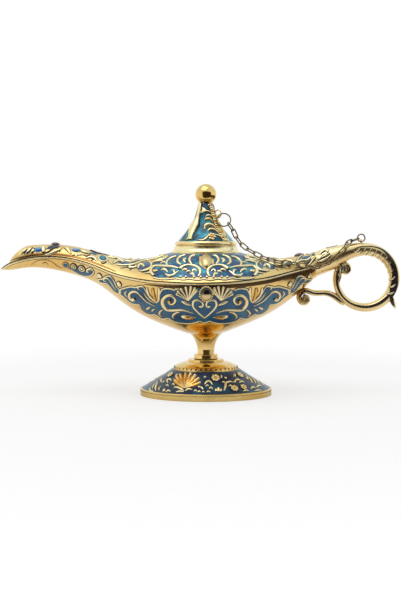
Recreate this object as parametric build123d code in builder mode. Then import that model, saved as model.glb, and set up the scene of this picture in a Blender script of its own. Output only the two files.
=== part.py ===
from build123d import *
import os
from math import cos, radians, sin, sqrt

os.makedirs("parts", exist_ok=True)

# A genie oil lamp in millimetres. The origin is the middle of the foot's underside, on the
# stem axis. The spout points to -X, the handle to +X, the front is -Y and up is +Z.

# Body of the lamp
spout_reach = 110.6       # stem axis to the tip of the lower lip
tail_reach = 58.3         # stem axis to the end of the body, where the handle begins
body_half_width = 37.3
body_height = 49.2        # underside of the bowl to the crest of the spout
wall = 1.5
seam_gap = 0.1            # solder line between the lower bowl and the deck
slope_step = 0.1          # distance over which the body's slopes are measured

# Foot, from the ground up
foot_length = 71.0
foot_width = 59.0
rim_height = 3.7
rim_width = 4.6
rim_bead = 1.2            # height of the upper bead of the rim
rim_groove = 0.4
skirt_setback = 0.8       # how far the skirt stands back from the rim
skirt_height = 10.1
skirt_top_radius = 18.4
skirt_sag = 0.45
web_thickness = 1.8
cap_radius = 17.2
cap_band = 1.4
cap_dome = 2.8
cap_dome_radius = 10.4
cap_flange_radius = 9.6
cap_flange = 1.3
cap_hub_radius = 4.6
cap_notch_count = 40
cap_notch_radius = 0.42
cap_notch_depth = 0.6
ring_radius = 6.4
ring_height = 2.6
ring_neck_radius = 4.5
ring_neck_height = 2.0
small_fillet = 0.45

# Stem, cast in one with the bowl
stem_radius = 4.6
stem_height = 7.9
stem_flare_radius = 13.6
stem_flare_rise = 5.4     # how far the flare reaches up into the bowl's wall

# Bolt that holds bowl, stem collar and foot together
bolt_diameter = 4.0
bolt_head_diameter = 7.0
bolt_head_height = 2.6
bolt_reach = 7.0          # thread length inside the stem
bolt_socket = 3.0
washer_diameter = 10.0
washer_thickness = 0.9
bore_clearance = 0.1

# Mouth of the body
mouth_radius = 14.5
mouth_share = 0.902       # height of the mouth's seat as a share of the body's height
mouth_sleeve_wall = 1.7
mouth_sleeve_depth = 2.5
mouth_collar_radius = 18.9
mouth_collar_top_radius = 17.0
mouth_collar_height = 3.8
mouth_collar_band = 0.8
mouth_collar_bulge = 0.65

# Lid
spigot_clearance = 0.08
spigot_depth = 5.0
spigot_wall = 1.2
lid_rim_radius = 16.6
lid_rim_top_radius = 15.6
lid_rim_height = 2.7
lid_rim_crest = 1.35      # seat up to the widest place of the rim's bead
lid_rim_groove = 0.5      # groove under the bead
lid_cone_radius = 15.0
lid_cone_height = 20.2
lid_wall = 1.3
lid_crown = 2.4           # solid top of the cone, which the finial's stud goes through
finial_radius = 5.6
finial_neck_radius = 3.4
finial_neck_height = 0.5
stud_diameter = 2.4
nut_width = 4.4
nut_height = 1.6
nut_overhang = 0.6

# Lug and ring on the lid
lug_angle = -36.0         # degrees round the cone from +X
lug_thickness = 1.6
lug_stand = 1.3
eye_radius = 2.0
eye_wire = 0.7
eye_drop = 5.6            # top of the cone down to the middle of the eye
lid_ring_radius = 3.65
lid_ring_wire = 0.7
hang_out = 0.9            # middle of the eye out to where the ring crosses it
hang_down = 0.6
lid_ring_tilt = 20.0      # degrees, its foot leans outwards along the cone
lid_ring_hang = 130.0     # degrees round the ring where it hangs in the eye
lid_ring_pull = -40.0     # degrees round the ring where the chain pulls

# Handle
loop_radius = 15.7
loop_drop = 7.2           # middle of the body's end down to the middle of the loop
loop_offset = 27.5        # end of the body to the middle of the loop
loop_top_thickness = 6.8
loop_end_thickness = 3.3
loop_top_depth = 6.8
loop_end_depth = 4.4
volute_radius = 4.1
volute_end_radius = 1.3
volute_offset = 10.9      # middle of the loop to the volute's eye, along the lamp
volute_rise = 4.7
scroll_radius = 4.9
scroll_end_radius = 1.4
scroll_offset = 4.9       # end of the body back to the scroll's eye
scroll_seat = 1.9         # how deep the curl is let into the underside of the body
scroll_thickness = 3.2
scroll_depth = 4.2
curl_end_thickness = 1.6
curl_end_depth = 3.0
curl_bead = 1.1           # radius of the bead at a curl's inner end

# Chain and its fittings on the handle
link_pitch = 4.3
link_wire = 0.68
link_width = 3.0
link_clearance = 0.24
link_roll = 30.0          # degrees from facing the front
chain_lift = 1.95         # deck up to the middle of the chain
tag_length = 6.2
tag_width = 2.2
tag_thickness = 0.9
tag_hole = 1.3
tag_swing = 32.0          # degrees towards the front
tag_drop = 15.0           # degrees below level
staple_wire = 0.7
staple_radius = 1.15
staple_leg = 0.8
staple_offset = 2.2       # middle of the loop back to the staple
handle_ring_radius = 2.0
handle_ring_wire = 0.7
handle_ring_gap = 0.35    # crest of the handle up to the ring
handle_ring_hold = 195.0  # degrees round the ring where it holds the tag

# Stones, each with its size along the lamp, across it and standing out
stone_seat = 0.6
bezel_width = 0.7
bezel_height = 0.6
bowl_stone = (5.6, 6.8, 1.9)
bowl_stone_drop = 5.8     # ridge down to the middle of the stone
deck_stone = (5.6, 11.0, 1.8)
crest_stone = (4.8, 4.8, 1.3)
side_stone = (4.6, 3.2, 1.1)
tail_stone = (5.2, 3.8, 1.5)

# Cross-sections of the body: place along the spout (negative) or the tail, then the height of
# underside, ridge and deck as shares of the body's height, then the share of its half width
section_shares = [
    (-1.000, 0.726, 0.736, 0.756, 0.024),
    (-0.981, 0.722, 0.758, 0.817, 0.086),
    (-0.951, 0.720, 0.797, 0.898, 0.139),
    (-0.895, 0.740, 0.837, 0.970, 0.182),
    (-0.814, 0.746, 0.870, 0.998, 0.204),
    (-0.723, 0.717, 0.874, 0.998, 0.239),
    (-0.633, 0.665, 0.848, 0.976, 0.295),
    (-0.542, 0.587, 0.791, 0.925, 0.381),
    (-0.425, 0.397, 0.693, 0.860, 0.558),
    (-0.289, 0.202, 0.634, 0.843, 0.761),
    (-0.163, 0.084, 0.614, 0.917, 0.912),
    (0.000, 0.000, 0.608, 0.988, 1.000),
    (0.309, 0.101, 0.626, 0.917, 0.925),
    (0.549, 0.224, 0.661, 0.843, 0.735),
    (0.755, 0.377, 0.715, 0.858, 0.509),
    (0.892, 0.507, 0.750, 0.884, 0.332),
    (1.000, 0.626, 0.780, 0.923, 0.206),
]

# Front edge of the hood over the spout's mouth: shares of the spout's reach and body's height
hood_shares = [(-0.951, 0.797), (-0.921, 0.896), (-0.889, 0.957), (-0.842, 1.020)]

# Outlines of revolved pieces: shares of their radius range and their height
flare_shares = [(0.0, 0.04), (0.067, 0.26), (0.278, 0.56), (0.556, 0.74), (1.0, 1.0)]
cone_shares = [(1.0, 0.0), (0.84, 0.15), (0.68, 0.285), (0.54, 0.425), (0.42, 0.614),
               (0.33, 0.81), (0.24, 1.0)]

# Middle line of the handle's neck: share of the way from the body to the loop's crest, share
# of the climb, then thickness and depth as shares of the way from the body's end to the crest
neck_shares = [(0.24, 0.32, 0.26, 0.27), (0.50, 0.65, 0.54, 0.54), (0.74, 0.90, 0.85, 0.84)]

# Angles where the loop, the volute and the scroll's curl start and end, and how many spans
# their lofts have
loop_angles = (90.0, -195.0)
volute_angles = (180.0, -180.0)
scroll_angles = (45.0, 450.0)
loop_span_count = 12
scroll_span_count = 14
volute_start_share = 0.85  # thickness of the volute's start, of the loop's end

# Spur at the loop's foot: place from the loop's middle as shares of its radius, thickness as
# a share of the loop's
spur_shares = [(0.86, -0.50, 0.44), (0.92, -0.72, 0.44), (0.99, -0.89, 0.32),
               (1.04, -1.04, 0.06)]

# Branch of the scroll off the loop: degrees round the loop, then share of the loop's radius
# outwards and share of the scroll's thickness
branch_shares = [(-118.0, 0.07, 0.48), (-128.0, 0.06, 0.85), (-141.0, 0.16, 1.00)]
branch_crest_share = 0.62  # height of the branch's crest over the curl's eye, of its radius

# Middle line of the chain between its rings: share of the tail's reach, of the body's half
# width and of the body's height, or None where the chain lies on the deck
chain_shares = [
    (0.286, -0.200, 1.055), (0.388, -0.236, 0.940), (0.508, -0.282, None),
    (0.647, -0.432, None), (0.775, -0.418, None), (0.900, -0.380, 0.768),
    (1.000, -0.305, 0.757), (1.110, -0.268, 0.800), (1.200, -0.245, 0.893),
    (1.283, -0.200, 0.982),
]

# Places of the stones along the spout or tail, and across, as shares
crest_stone_share = -0.732
side_stone_shares = [(-0.808, 0.160), (-0.626, 0.178)]
tail_stone_share = 0.858
deck_stone_share = 0.697

# Heights that follow from the stack of pieces
skirt_top = rim_height + skirt_height
cap_top = skirt_top + cap_band + cap_dome + cap_flange
ring_top = cap_top + ring_height
stem_foot = ring_top + ring_neck_height
bowl_bottom = stem_foot + stem_height
mouth_seat = bowl_bottom + body_height * mouth_share
lid_seat = mouth_seat + mouth_collar_height
cone_foot = lid_seat + lid_rim_height
cone_top = cone_foot + lid_cone_height
spigot_radius = mouth_radius - spigot_clearance
bolt_bore = bolt_diameter / 2 + bore_clearance
link_overlap = (link_wire + link_clearance) / 2


def body_section(shares):
    """Place, underside, ridge and deck heights and half width of one cross-section."""
    along, bottom, ridge, top, width = shares
    reach = spout_reach if along < 0 else tail_reach
    heights = [bowl_bottom + body_height * share for share in (bottom, ridge, top)]
    return (along * reach, *heights, body_half_width * width)


sections = [body_section(shares) for shares in section_shares]


def body_at(x):
    """Underside, ridge, deck and half width at x, on a smooth curve through the sections."""
    spans = len(sections) - 1
    i = max(k for k in range(spans) if sections[k][0] <= x or k == 0)
    before, start, end, after = (sections[max(0, min(spans, i + k))] for k in (-1, 0, 1, 2))
    span = end[0] - start[0]
    u = (x - start[0]) / span
    values = []
    for k in range(1, len(start)):
        slope_in = (end[k] - before[k]) / (end[0] - before[0]) * span
        slope_out = (after[k] - start[k]) / (after[0] - start[0]) * span
        values.append((2 * u**3 - 3 * u**2 + 1) * start[k] + (u**3 - 2 * u**2 + u) * slope_in
                      + (3 * u**2 - 2 * u**3) * end[k] + (u**3 - u**2) * slope_out)
    return values


def deck_height(x, y):
    """Height of the deck, whose cross-section is an arc from ridge to ridge."""
    bottom, ridge, top, width = body_at(x)
    rise = top - ridge
    radius = (width**2 + rise**2) / (2 * rise)
    return top - radius + sqrt(radius**2 - y**2)


def bowl_width(x, z):
    """Half width of the bowl at a height, whose cross-section is an arc under the ridge."""
    bottom, ridge, top, width = body_at(x)
    sink = ridge - bottom
    radius = (width**2 + sink**2) / (2 * sink)
    return sqrt(radius**2 - (bottom + radius - z) ** 2)


def deck_plane(x, y):
    """Plane that touches the deck at x, y, with its own x axis along the lamp."""
    step = slope_step
    slope_x = (deck_height(x + step, y) - deck_height(x - step, y)) / (2 * step)
    slope_y = (deck_height(x, y + step) - deck_height(x, y - step)) / (2 * step)
    return Plane((x, y, deck_height(x, y)), x_dir=(1, 0, slope_x), z_dir=(-slope_x, -slope_y, 1))


def bowl_plane(x, z, side):
    """Plane that touches the bowl at x, z on the front (side -1) or the back (side 1)."""
    step = slope_step
    slope_x = (bowl_width(x + step, z) - bowl_width(x - step, z)) / (2 * step)
    slope_z = (bowl_width(x, z + step) - bowl_width(x, z - step)) / (2 * step)
    place = (x, side * bowl_width(x, z), z)
    return Plane(place, x_dir=(1, side * slope_x, 0), z_dir=(-slope_x, side, -slope_z))


def body_loft(rows, inset, lower, upper):
    """Loft through cross-sections, inset by a wall, with the arcs under and over the ridge."""
    with BuildPart() as piece:
        for x, bottom, ridge, top, width in rows:
            left = (inset - width, ridge)
            right = (width - inset, ridge)
            with BuildSketch(Plane.YZ.offset(x)):
                with BuildLine():
                    if lower:
                        ThreePointArc(left, (0, bottom + inset), right)
                    else:
                        Line(left, right)
                    if upper:
                        ThreePointArc(right, (0, top - inset), left)
                    else:
                        Line(right, left)
                make_face()
        loft()
    return piece.part


def strand(points, start=None):
    """Loft of ovals along a line in the lamp's middle plane: x, z, thickness and depth."""
    with BuildPart() as piece:
        for i, (x, z, thickness, depth) in enumerate(points):
            before = points[max(i - 1, 0)]
            after = points[min(i + 1, len(points) - 1)]
            direction = (after[0] - before[0], 0, after[1] - before[1])
            if i == 0 and start:
                direction = start
            with BuildSketch(Plane((x, 0, z), x_dir=(0, 1, 0), z_dir=direction)):
                Ellipse(depth / 2, thickness / 2)
        loft()
    return piece.part


def curl(eye, radii, angles, thicknesses, depths, count):
    """Points of a spiral that narrows evenly about its eye, for a strand."""
    points = []
    for i in range(count + 1):
        u = i / count
        angle = radians(angles[0] + (angles[1] - angles[0]) * u)
        radius = radii[0] * (radii[1] / radii[0]) ** u
        thickness = thicknesses[0] + (thicknesses[1] - thicknesses[0]) * u
        depth = depths[0] + (depths[1] - depths[0]) * u
        points.append((eye[0] + radius * cos(angle), eye[1] + radius * sin(angle),
                       thickness, depth))
    return points


def oval_stone(size):
    """Domed stone on its seat, in the plane of its girdle."""
    along, across, height = size
    with BuildPart() as stone:
        Sphere(1)
        scale(by=(along / 2, across / 2, height))
        split(bisect_by=Plane.XY, keep=Keep.TOP)
        with BuildSketch():
            Ellipse(along / 2, across / 2)
        extrude(amount=-stone_seat)
    return stone.part


def place(piece, plane):
    """A copy of a piece, moved from the ground plane to another plane."""
    return plane.location * piece


def save(piece, name):
    """Label a finished piece and write it as its own file."""
    piece.label = name
    export_step(piece, f"parts/{name}.step")


# Planes that the stones are set on
bowl_stone_height = body_at(0)[1] - bowl_stone_drop
bowl_stone_planes = [bowl_plane(0, bowl_stone_height, side) for side in (-1, 1)]
deck_stone_planes = [deck_plane(0, side * deck_stone_share * body_half_width)
                     for side in (-1, 1)]
crest_stone_plane = deck_plane(crest_stone_share * spout_reach, 0)
side_stone_planes = [deck_plane(along * spout_reach, side * across * body_half_width)
                     for along, across in side_stone_shares for side in (-1, 1)]
tail_stone_plane = deck_plane(tail_stone_share * tail_reach, 0)

# Lower bowl: lower half of the body with the pouring lip, and the stem's flare below it
bowl_outside = body_loft(sections, 0, True, False)
cavity = body_loft(sections[1:-1], wall, True, True)
flare_top = bowl_bottom + stem_flare_rise
with BuildPart() as lower_bowl:
    add(bowl_outside)
    with BuildSketch(Plane.XZ):
        with BuildLine():
            flare = Spline([(stem_radius + (stem_flare_radius - stem_radius) * out,
                             stem_foot + (flare_top - stem_foot) * up)
                            for out, up in flare_shares], tangents=[(0, 1), (1, 1)])
            Polyline(flare @ 0, (stem_radius, stem_foot), (0, stem_foot), (0, flare_top), flare @ 1)
        make_face()
    revolve(axis=Axis.Z)
    add(cavity, mode=Mode.SUBTRACT)
    with BuildSketch(Plane.XY.offset(stem_foot)):
        Circle(bolt_diameter / 2)
    extrude(amount=bolt_reach, mode=Mode.SUBTRACT)
    for plane in bowl_stone_planes:
        with BuildSketch(plane.offset(-stone_seat)):
            Ellipse(bowl_stone[0] / 2 + bezel_width, bowl_stone[1] / 2 + bezel_width)
        extrude(amount=2 * stone_seat, mode=Mode.SUBTRACT)
save(lower_bowl.part, "lower_bowl")

# Upper deck: upper half of the body with the spout's hood, the seat of the mouth's collar and
# pockets for the stones
sleeve_radius = mouth_radius + mouth_sleeve_wall
deck_pockets = ([(plane, deck_stone) for plane in deck_stone_planes]
                + [(crest_stone_plane, crest_stone), (tail_stone_plane, tail_stone)]
                + [(plane, side_stone) for plane in side_stone_planes])
deck_sections = [(x, bottom, ridge + seam_gap, top, width)
                 for x, bottom, ridge, top, width in sections]
with BuildPart() as upper_deck:
    add(body_loft(deck_sections, 0, False, True))
    add(cavity, mode=Mode.SUBTRACT)
    with BuildSketch(Plane.XY.offset(mouth_seat - body_height / 2)):
        Circle(sleeve_radius)
    extrude(amount=body_height, mode=Mode.SUBTRACT)
    with BuildSketch(Plane.XY.offset(mouth_seat)):
        Circle(mouth_collar_radius)
    extrude(amount=body_height, mode=Mode.SUBTRACT)
    with BuildSketch(Plane.XZ):
        with BuildLine():
            hood = Spline([(along * spout_reach, bowl_bottom + body_height * up)
                           for along, up in hood_shares])
            above = bowl_bottom + 2 * body_height
            Polyline(hood @ 1, ((hood @ 1).X, above), (-2 * spout_reach, above),
                     (-2 * spout_reach, bowl_bottom), ((hood @ 0).X, bowl_bottom), hood @ 0)
        make_face()
    extrude(amount=body_half_width, both=True, mode=Mode.SUBTRACT)
    for plane, size in deck_pockets:
        with BuildSketch(plane.offset(-stone_seat)):
            Ellipse(size[0] / 2, size[1] / 2)
        extrude(amount=3 * stone_seat, mode=Mode.SUBTRACT)
save(upper_deck.part, "upper_deck")

# Collar round the mouth, with a sleeve down into the deck
with BuildPart() as mouth_collar:
    with BuildSketch(Plane.XZ):
        with BuildLine():
            band_top = (mouth_collar_radius, mouth_seat + mouth_collar_band)
            rim_top = (mouth_collar_top_radius, lid_seat)
            SagittaArc(band_top, rim_top, mouth_collar_bulge)
            Polyline(rim_top, (mouth_radius, lid_seat),
                     (mouth_radius, mouth_seat - mouth_sleeve_depth),
                     (sleeve_radius, mouth_seat - mouth_sleeve_depth),
                     (sleeve_radius, mouth_seat), (mouth_collar_radius, mouth_seat), band_top)
        make_face()
    revolve(axis=Axis.Z)
save(mouth_collar.part, "mouth_collar")

# Rim of the foot: a main band, a groove and a bead, all oval
with BuildPart() as foot_rim:
    band_height = rim_height - rim_bead
    for foot, height, inset in [(0, band_height, 0), (band_height, rim_groove, rim_groove),
                                (band_height + rim_groove, rim_bead - rim_groove, 0)]:
        with BuildSketch(Plane.XY.offset(foot)):
            Ellipse(foot_length / 2 - inset, foot_width / 2 - inset)
            Ellipse(foot_length / 2 - rim_width, foot_width / 2 - rim_width, mode=Mode.SUBTRACT)
        extrude(amount=height)
    outer_edges = foot_rim.edges().filter_by(lambda e: e.bounding_box().size.X > foot_length
                                             - rim_groove)
    top_edge = outer_edges.sort_by(Axis.Z)[-1]
    fillet([top_edge], radius=rim_groove)
save(foot_rim.part, "foot_rim")


def skirt_loft(drop):
    """Oval cone from the rim up to the cap, lowered by a drop."""
    rows = []
    for u, sag in ((0, 0), (0.5, skirt_sag), (1, 0)):
        half_length = foot_length / 2 - skirt_setback
        half_width = foot_width / 2 - skirt_setback
        rows.append((rim_height + skirt_height * u - drop,
                     half_length + (skirt_top_radius - half_length) * u - sag,
                     half_width + (skirt_top_radius - half_width) * u - sag))
    with BuildPart() as piece:
        for z, half_length, half_width in rows:
            with BuildSketch(Plane.XY.offset(z)):
                Ellipse(half_length, half_width)
        loft()
    return piece.part


# Skirt of the foot, hollow below its web
with BuildPart() as foot_skirt:
    add(skirt_loft(0))
    add(skirt_loft(web_thickness), mode=Mode.SUBTRACT)
    with BuildSketch():
        Circle(bolt_bore)
    extrude(amount=skirt_top, mode=Mode.SUBTRACT)
save(foot_skirt.part, "foot_skirt")

# Domed cap on the skirt, with a row of notches round its band, hollow round its hub
with BuildPart() as foot_cap:
    dome_foot = skirt_top + cap_band
    dome_top = dome_foot + cap_dome
    with BuildSketch(Plane.XZ):
        with BuildLine():
            SagittaArc((cap_radius, dome_foot), (cap_dome_radius, dome_top), -small_fillet)
            Polyline((cap_dome_radius, dome_top), (cap_flange_radius, dome_top),
                     (cap_flange_radius, cap_top), (bolt_bore, cap_top), (bolt_bore, skirt_top),
                     (cap_hub_radius, skirt_top), (cap_hub_radius, dome_top - wall),
                     (cap_dome_radius, dome_top - wall), (cap_radius - wall, skirt_top),
                     (cap_radius, skirt_top), (cap_radius, dome_foot))
        make_face()
    revolve(axis=Axis.Z)
    flange_edge = foot_cap.edges().group_by(Axis.Z)[-1].sort_by(SortBy.LENGTH)[-1]
    fillet([flange_edge], radius=small_fillet)
    with Locations((0, 0, skirt_top + cap_band)):
        with PolarLocations(cap_radius, cap_notch_count):
            Cylinder(cap_notch_radius, 2 * cap_notch_depth, rotation=(0, 90, 0),
                     mode=Mode.SUBTRACT)
save(foot_cap.part, "foot_cap")

# Collar between foot and stem: a ring with a neck above it
with BuildPart() as stem_collar:
    with BuildSketch(Plane.XY.offset(cap_top)):
        Circle(ring_radius)
    extrude(amount=ring_height)
    fillet(stem_collar.edges(), radius=small_fillet)
    with BuildSketch(Plane.XY.offset(cap_top)):
        Circle(ring_neck_radius)
    extrude(amount=ring_height + ring_neck_height)
    with BuildSketch(Plane.XY.offset(cap_top)):
        Circle(bolt_bore)
    extrude(amount=ring_height + ring_neck_height, mode=Mode.SUBTRACT)
save(stem_collar.part, "stem_collar")

# Washer and bolt from under the skirt's web up into the stem
web_bottom = skirt_top - web_thickness
head_top = web_bottom - washer_thickness
with BuildPart() as tie_washer:
    with BuildSketch(Plane.XY.offset(head_top)):
        Circle(washer_diameter / 2)
        Circle(bolt_bore, mode=Mode.SUBTRACT)
    extrude(amount=washer_thickness)
save(tie_washer.part, "tie_washer")

with BuildPart() as tie_bolt:
    with BuildSketch(Plane.XY.offset(head_top - bolt_head_height)):
        Circle(bolt_head_diameter / 2)
    extrude(amount=bolt_head_height)
    with BuildSketch(Plane.XY.offset(head_top)):
        Circle(bolt_diameter / 2)
    extrude(amount=stem_foot + bolt_reach - head_top)
    with BuildSketch(Plane.XY.offset(head_top - bolt_head_height)):
        RegularPolygon(bolt_socket / 2, 6, major_radius=False)
    extrude(amount=bolt_head_height / 2, mode=Mode.SUBTRACT)
save(tie_bolt.part, "tie_bolt")

# Handle: neck from the body's end, round the loop and into the volute under the neck, with a
# spur at the foot of the loop
body_end = sections[-1]
loop_x = tail_reach + loop_offset
end_z = (body_end[3] + body_end[1]) / 2
loop_z = end_z - loop_drop
crest_z = loop_z + loop_radius
end_thickness = body_end[3] - body_end[1]
end_depth = 2 * body_end[4]
neck_points = [(tail_reach, end_z, end_thickness, end_depth)]
for along, up, thinner, narrower in neck_shares:
    neck_points.append((tail_reach + loop_offset * along, end_z + (crest_z - end_z) * up,
                        end_thickness + (loop_top_thickness - end_thickness) * thinner,
                        end_depth + (loop_top_depth - end_depth) * narrower))
loop_points = curl(
    (loop_x, loop_z), (loop_radius, loop_radius), loop_angles,
    (loop_top_thickness, loop_end_thickness), (loop_top_depth, loop_end_depth), loop_span_count)
volute_eye = (loop_x - volute_offset, loop_z + volute_rise)
volute_start = loop_end_thickness * volute_start_share
volute_points = loop_points[-2:-1] + curl(
    volute_eye, (volute_radius, volute_end_radius), volute_angles,
    (volute_start, curl_end_thickness), (loop_end_depth, curl_end_depth), loop_span_count)
with BuildPart() as handle:
    add(strand(neck_points + loop_points, start=(1, 0, 0)))
    add(strand(volute_points))
    with Locations((volute_points[-1][0], 0, volute_points[-1][1])):
        Sphere(curl_bead)
    add(strand([(loop_x + loop_radius * along, loop_z + loop_radius * up,
                 loop_top_thickness * thick, loop_top_depth * thick)
                for along, up, thick in spur_shares]))
save(handle.part, "handle")

# Scroll that branches off the loop and curls under the tail of the body
scroll_x = tail_reach - scroll_offset
underside = body_at(scroll_x)[0]
slope = (underside - body_at(scroll_x - slope_step)[0]) / slope_step
scroll_stand = scroll_radius + scroll_thickness / 2 - scroll_seat
scroll_eye = (scroll_x, underside - scroll_stand * sqrt(1 + slope**2))
branch_points = []
for angle, out, thick in branch_shares:
    radius = loop_radius * (1 + out)
    branch_points.append((loop_x + radius * cos(radians(angle)),
                          loop_z + radius * sin(radians(angle)),
                          scroll_thickness * thick, scroll_depth * thick))
middle_x = (branch_points[-1][0] + scroll_eye[0] + scroll_radius) / 2
middle_z = scroll_eye[1] + scroll_radius * branch_crest_share
branch_points.append((middle_x, middle_z, scroll_thickness, scroll_depth))
scroll_points = branch_points + curl(
    scroll_eye, (scroll_radius, scroll_end_radius), scroll_angles,
    (scroll_thickness, curl_end_thickness), (scroll_depth, curl_end_depth), scroll_span_count)
with BuildPart() as handle_scroll:
    add(strand(scroll_points))
    with Locations((scroll_points[-1][0], 0, scroll_points[-1][1])):
        Sphere(curl_bead)
    with BuildSketch(Plane.XZ):
        with Locations((loop_x, loop_z)):
            Circle(loop_radius)
    extrude(amount=scroll_depth, both=True, mode=Mode.SUBTRACT)
    add(handle.part, mode=Mode.SUBTRACT)
    add(bowl_outside, mode=Mode.SUBTRACT)
save(handle_scroll.part, "handle_scroll")

# Stones, and the bezels of the two on the bowl
for side, plane in zip(("front", "back"), bowl_stone_planes):
    with BuildPart() as bezel:
        with BuildSketch(Plane.XY.offset(-stone_seat)):
            Ellipse(bowl_stone[0] / 2 + bezel_width, bowl_stone[1] / 2 + bezel_width)
            Ellipse(bowl_stone[0] / 2, bowl_stone[1] / 2, mode=Mode.SUBTRACT)
        extrude(amount=stone_seat + bezel_height)
    save(place(bezel.part, plane), f"bowl_bezel_{side}")
    save(place(oval_stone(bowl_stone), plane), f"bowl_stone_{side}")
for side, plane in zip(("front", "back"), deck_stone_planes):
    save(place(oval_stone(deck_stone), plane), f"deck_stone_{side}")
save(place(oval_stone(crest_stone), crest_stone_plane), "crest_stone")
save(place(oval_stone(tail_stone), tail_stone_plane), "tail_stone")
with BuildPart() as side_stones:
    for plane in side_stone_planes:
        add(place(oval_stone(side_stone), plane))
save(side_stones.part, "side_stones")

# Lid: spigot, rim, cone, finial with its stud and nut
with BuildPart() as lid_spigot:
    with BuildSketch(Plane.XY.offset(lid_seat - spigot_depth)):
        Circle(spigot_radius)
        Circle(spigot_radius - spigot_wall, mode=Mode.SUBTRACT)
    extrude(amount=spigot_depth + lid_rim_height)
save(lid_spigot.part, "lid_spigot")

with BuildPart() as lid_rim:
    with BuildSketch(Plane.XZ):
        with BuildLine():
            groove_radius = lid_rim_radius - lid_rim_groove
            groove_top = lid_seat + lid_rim_groove
            bead_foot = (lid_rim_radius - lid_rim_groove / 2, groove_top)
            ThreePointArc(bead_foot, (lid_rim_radius, lid_seat + lid_rim_crest),
                          (lid_rim_top_radius, cone_foot))
            Polyline((lid_rim_top_radius, cone_foot), (spigot_radius, cone_foot),
                     (spigot_radius, lid_seat), (groove_radius, lid_seat),
                     (groove_radius, groove_top), bead_foot)
        make_face()
    revolve(axis=Axis.Z)
save(lid_rim.part, "lid_rim")


def cone_points(inset, top):
    """Outline of the cone, inset by a wall, up to a height."""
    points = [(lid_cone_radius * out - inset, cone_foot + lid_cone_height * up)
              for out, up in cone_shares]
    return [point for point in points if point[1] <= top]


crown_bottom = cone_top - lid_crown
stud_bottom = crown_bottom - nut_height - nut_overhang
with BuildPart() as lid_cone:
    with BuildSketch(Plane.XZ):
        with BuildLine():
            outside = Spline(cone_points(0, cone_top))
            Polyline(outside @ 1, (0, cone_top), (0, cone_foot), outside @ 0)
        make_face()
    revolve(axis=Axis.Z)
    cone_outside = lid_cone.part
    with BuildSketch(Plane.XZ):
        with BuildLine():
            inside = Spline(cone_points(lid_wall, crown_bottom))
            Polyline(inside @ 1, ((inside @ 1).X, crown_bottom), (0, crown_bottom),
                     (0, cone_foot), inside @ 0)
        make_face()
    revolve(axis=Axis.Z, mode=Mode.SUBTRACT)
    with BuildSketch(Plane.XY.offset(crown_bottom)):
        Circle(stud_diameter / 2)
    extrude(amount=lid_crown, mode=Mode.SUBTRACT)
save(lid_cone.part, "lid_cone")

ball_z = cone_top + finial_neck_height + sqrt(finial_radius**2 - finial_neck_radius**2)
with BuildPart() as finial:
    with Locations((0, 0, ball_z)):
        Sphere(finial_radius)
    split(bisect_by=Plane.XY.offset(cone_top + finial_neck_height), keep=Keep.TOP)
    with BuildSketch(Plane.XY.offset(cone_top)):
        Circle(finial_neck_radius)
    extrude(amount=finial_neck_height)
    with BuildSketch(Plane.XY.offset(stud_bottom)):
        Circle(stud_diameter / 2)
    extrude(amount=cone_top - stud_bottom)
save(finial.part, "finial")

with BuildPart() as finial_nut:
    with BuildSketch(Plane.XY.offset(crown_bottom - nut_height)):
        RegularPolygon(nut_width / 2, 6, major_radius=False)
        Circle(stud_diameter / 2, mode=Mode.SUBTRACT)
    extrude(amount=nut_height)
save(finial_nut.part, "finial_nut")

# Lug on the cone, a leaf-shaped rib with an eye at its top
turn = radians(lug_angle)
lug_out = Vector(cos(turn), sin(turn), 0)
lug_plane = Plane((0, 0, 0), x_dir=lug_out, z_dir=(sin(turn), -cos(turn), 0))
eye_z = cone_top - eye_drop
eye_share = 1 - eye_drop / lid_cone_height
(out_a, up_a), (out_b, up_b) = cone_shares[-3:-1]
eye_seat = lid_cone_radius * (out_a + (out_b - out_a) * (eye_share - up_a) / (up_b - up_a))
eye_out = eye_seat + eye_radius + eye_wire / 2
with BuildPart() as lid_lug:
    with BuildSketch(lug_plane):
        with BuildLine():
            root = cone_points(0, eye_z)[1:]
            edge = Spline([root[0]] + [(out + lug_stand, z) for out, z in root[1:]])
            top = (eye_seat + lug_stand, eye_z)
            Polyline(edge @ 1, top, (0, eye_z), (0, root[0][1]), edge @ 0)
        make_face()
    extrude(amount=lug_thickness / 2, both=True)
    with Locations(Plane(lug_out * eye_out + Vector(0, 0, eye_z), z_dir=lug_plane.z_dir)):
        Torus(eye_radius, eye_wire / 2)
    add(cone_outside, mode=Mode.SUBTRACT)
save(lid_lug.part, "lid_lug")

# Ring that hangs in the lug's eye, its foot leaning out along the cone
lean = radians(lid_ring_tilt)
ring_up = Vector(0, sin(lean), cos(lean))
ring_side = Vector(1, 0, 0)
hang = radians(lid_ring_hang)
hang_point = lug_out * (eye_out + hang_out) + Vector(0, 0, eye_z - hang_down)
ring_middle = hang_point - (ring_side * cos(hang) + ring_up * sin(hang)) * lid_ring_radius
with BuildPart() as lid_ring:
    with Locations(Plane(ring_middle, x_dir=ring_side, z_dir=ring_side.cross(ring_up))):
        Torus(lid_ring_radius, lid_ring_wire / 2)
save(lid_ring.part, "lid_ring")

# Staple on the handle's crest, and the ring that hangs in it
staple_x = loop_x - staple_offset
crest_top = crest_z + loop_top_thickness / 2
with BuildPart() as chain_staple:
    with BuildSketch(Plane((staple_x, staple_radius, crest_top + staple_leg))):
        Circle(staple_wire / 2)
    revolve(axis=Axis((staple_x, 0, crest_top + staple_leg), (1, 0, 0)), revolution_arc=180)
    for side in (-1, 1):
        with BuildSketch(Plane((staple_x, side * staple_radius, crest_top - staple_leg))):
            Circle(staple_wire / 2)
        extrude(amount=2 * staple_leg)
    add(handle.part, mode=Mode.SUBTRACT)
save(chain_staple.part, "chain_staple")

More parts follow.
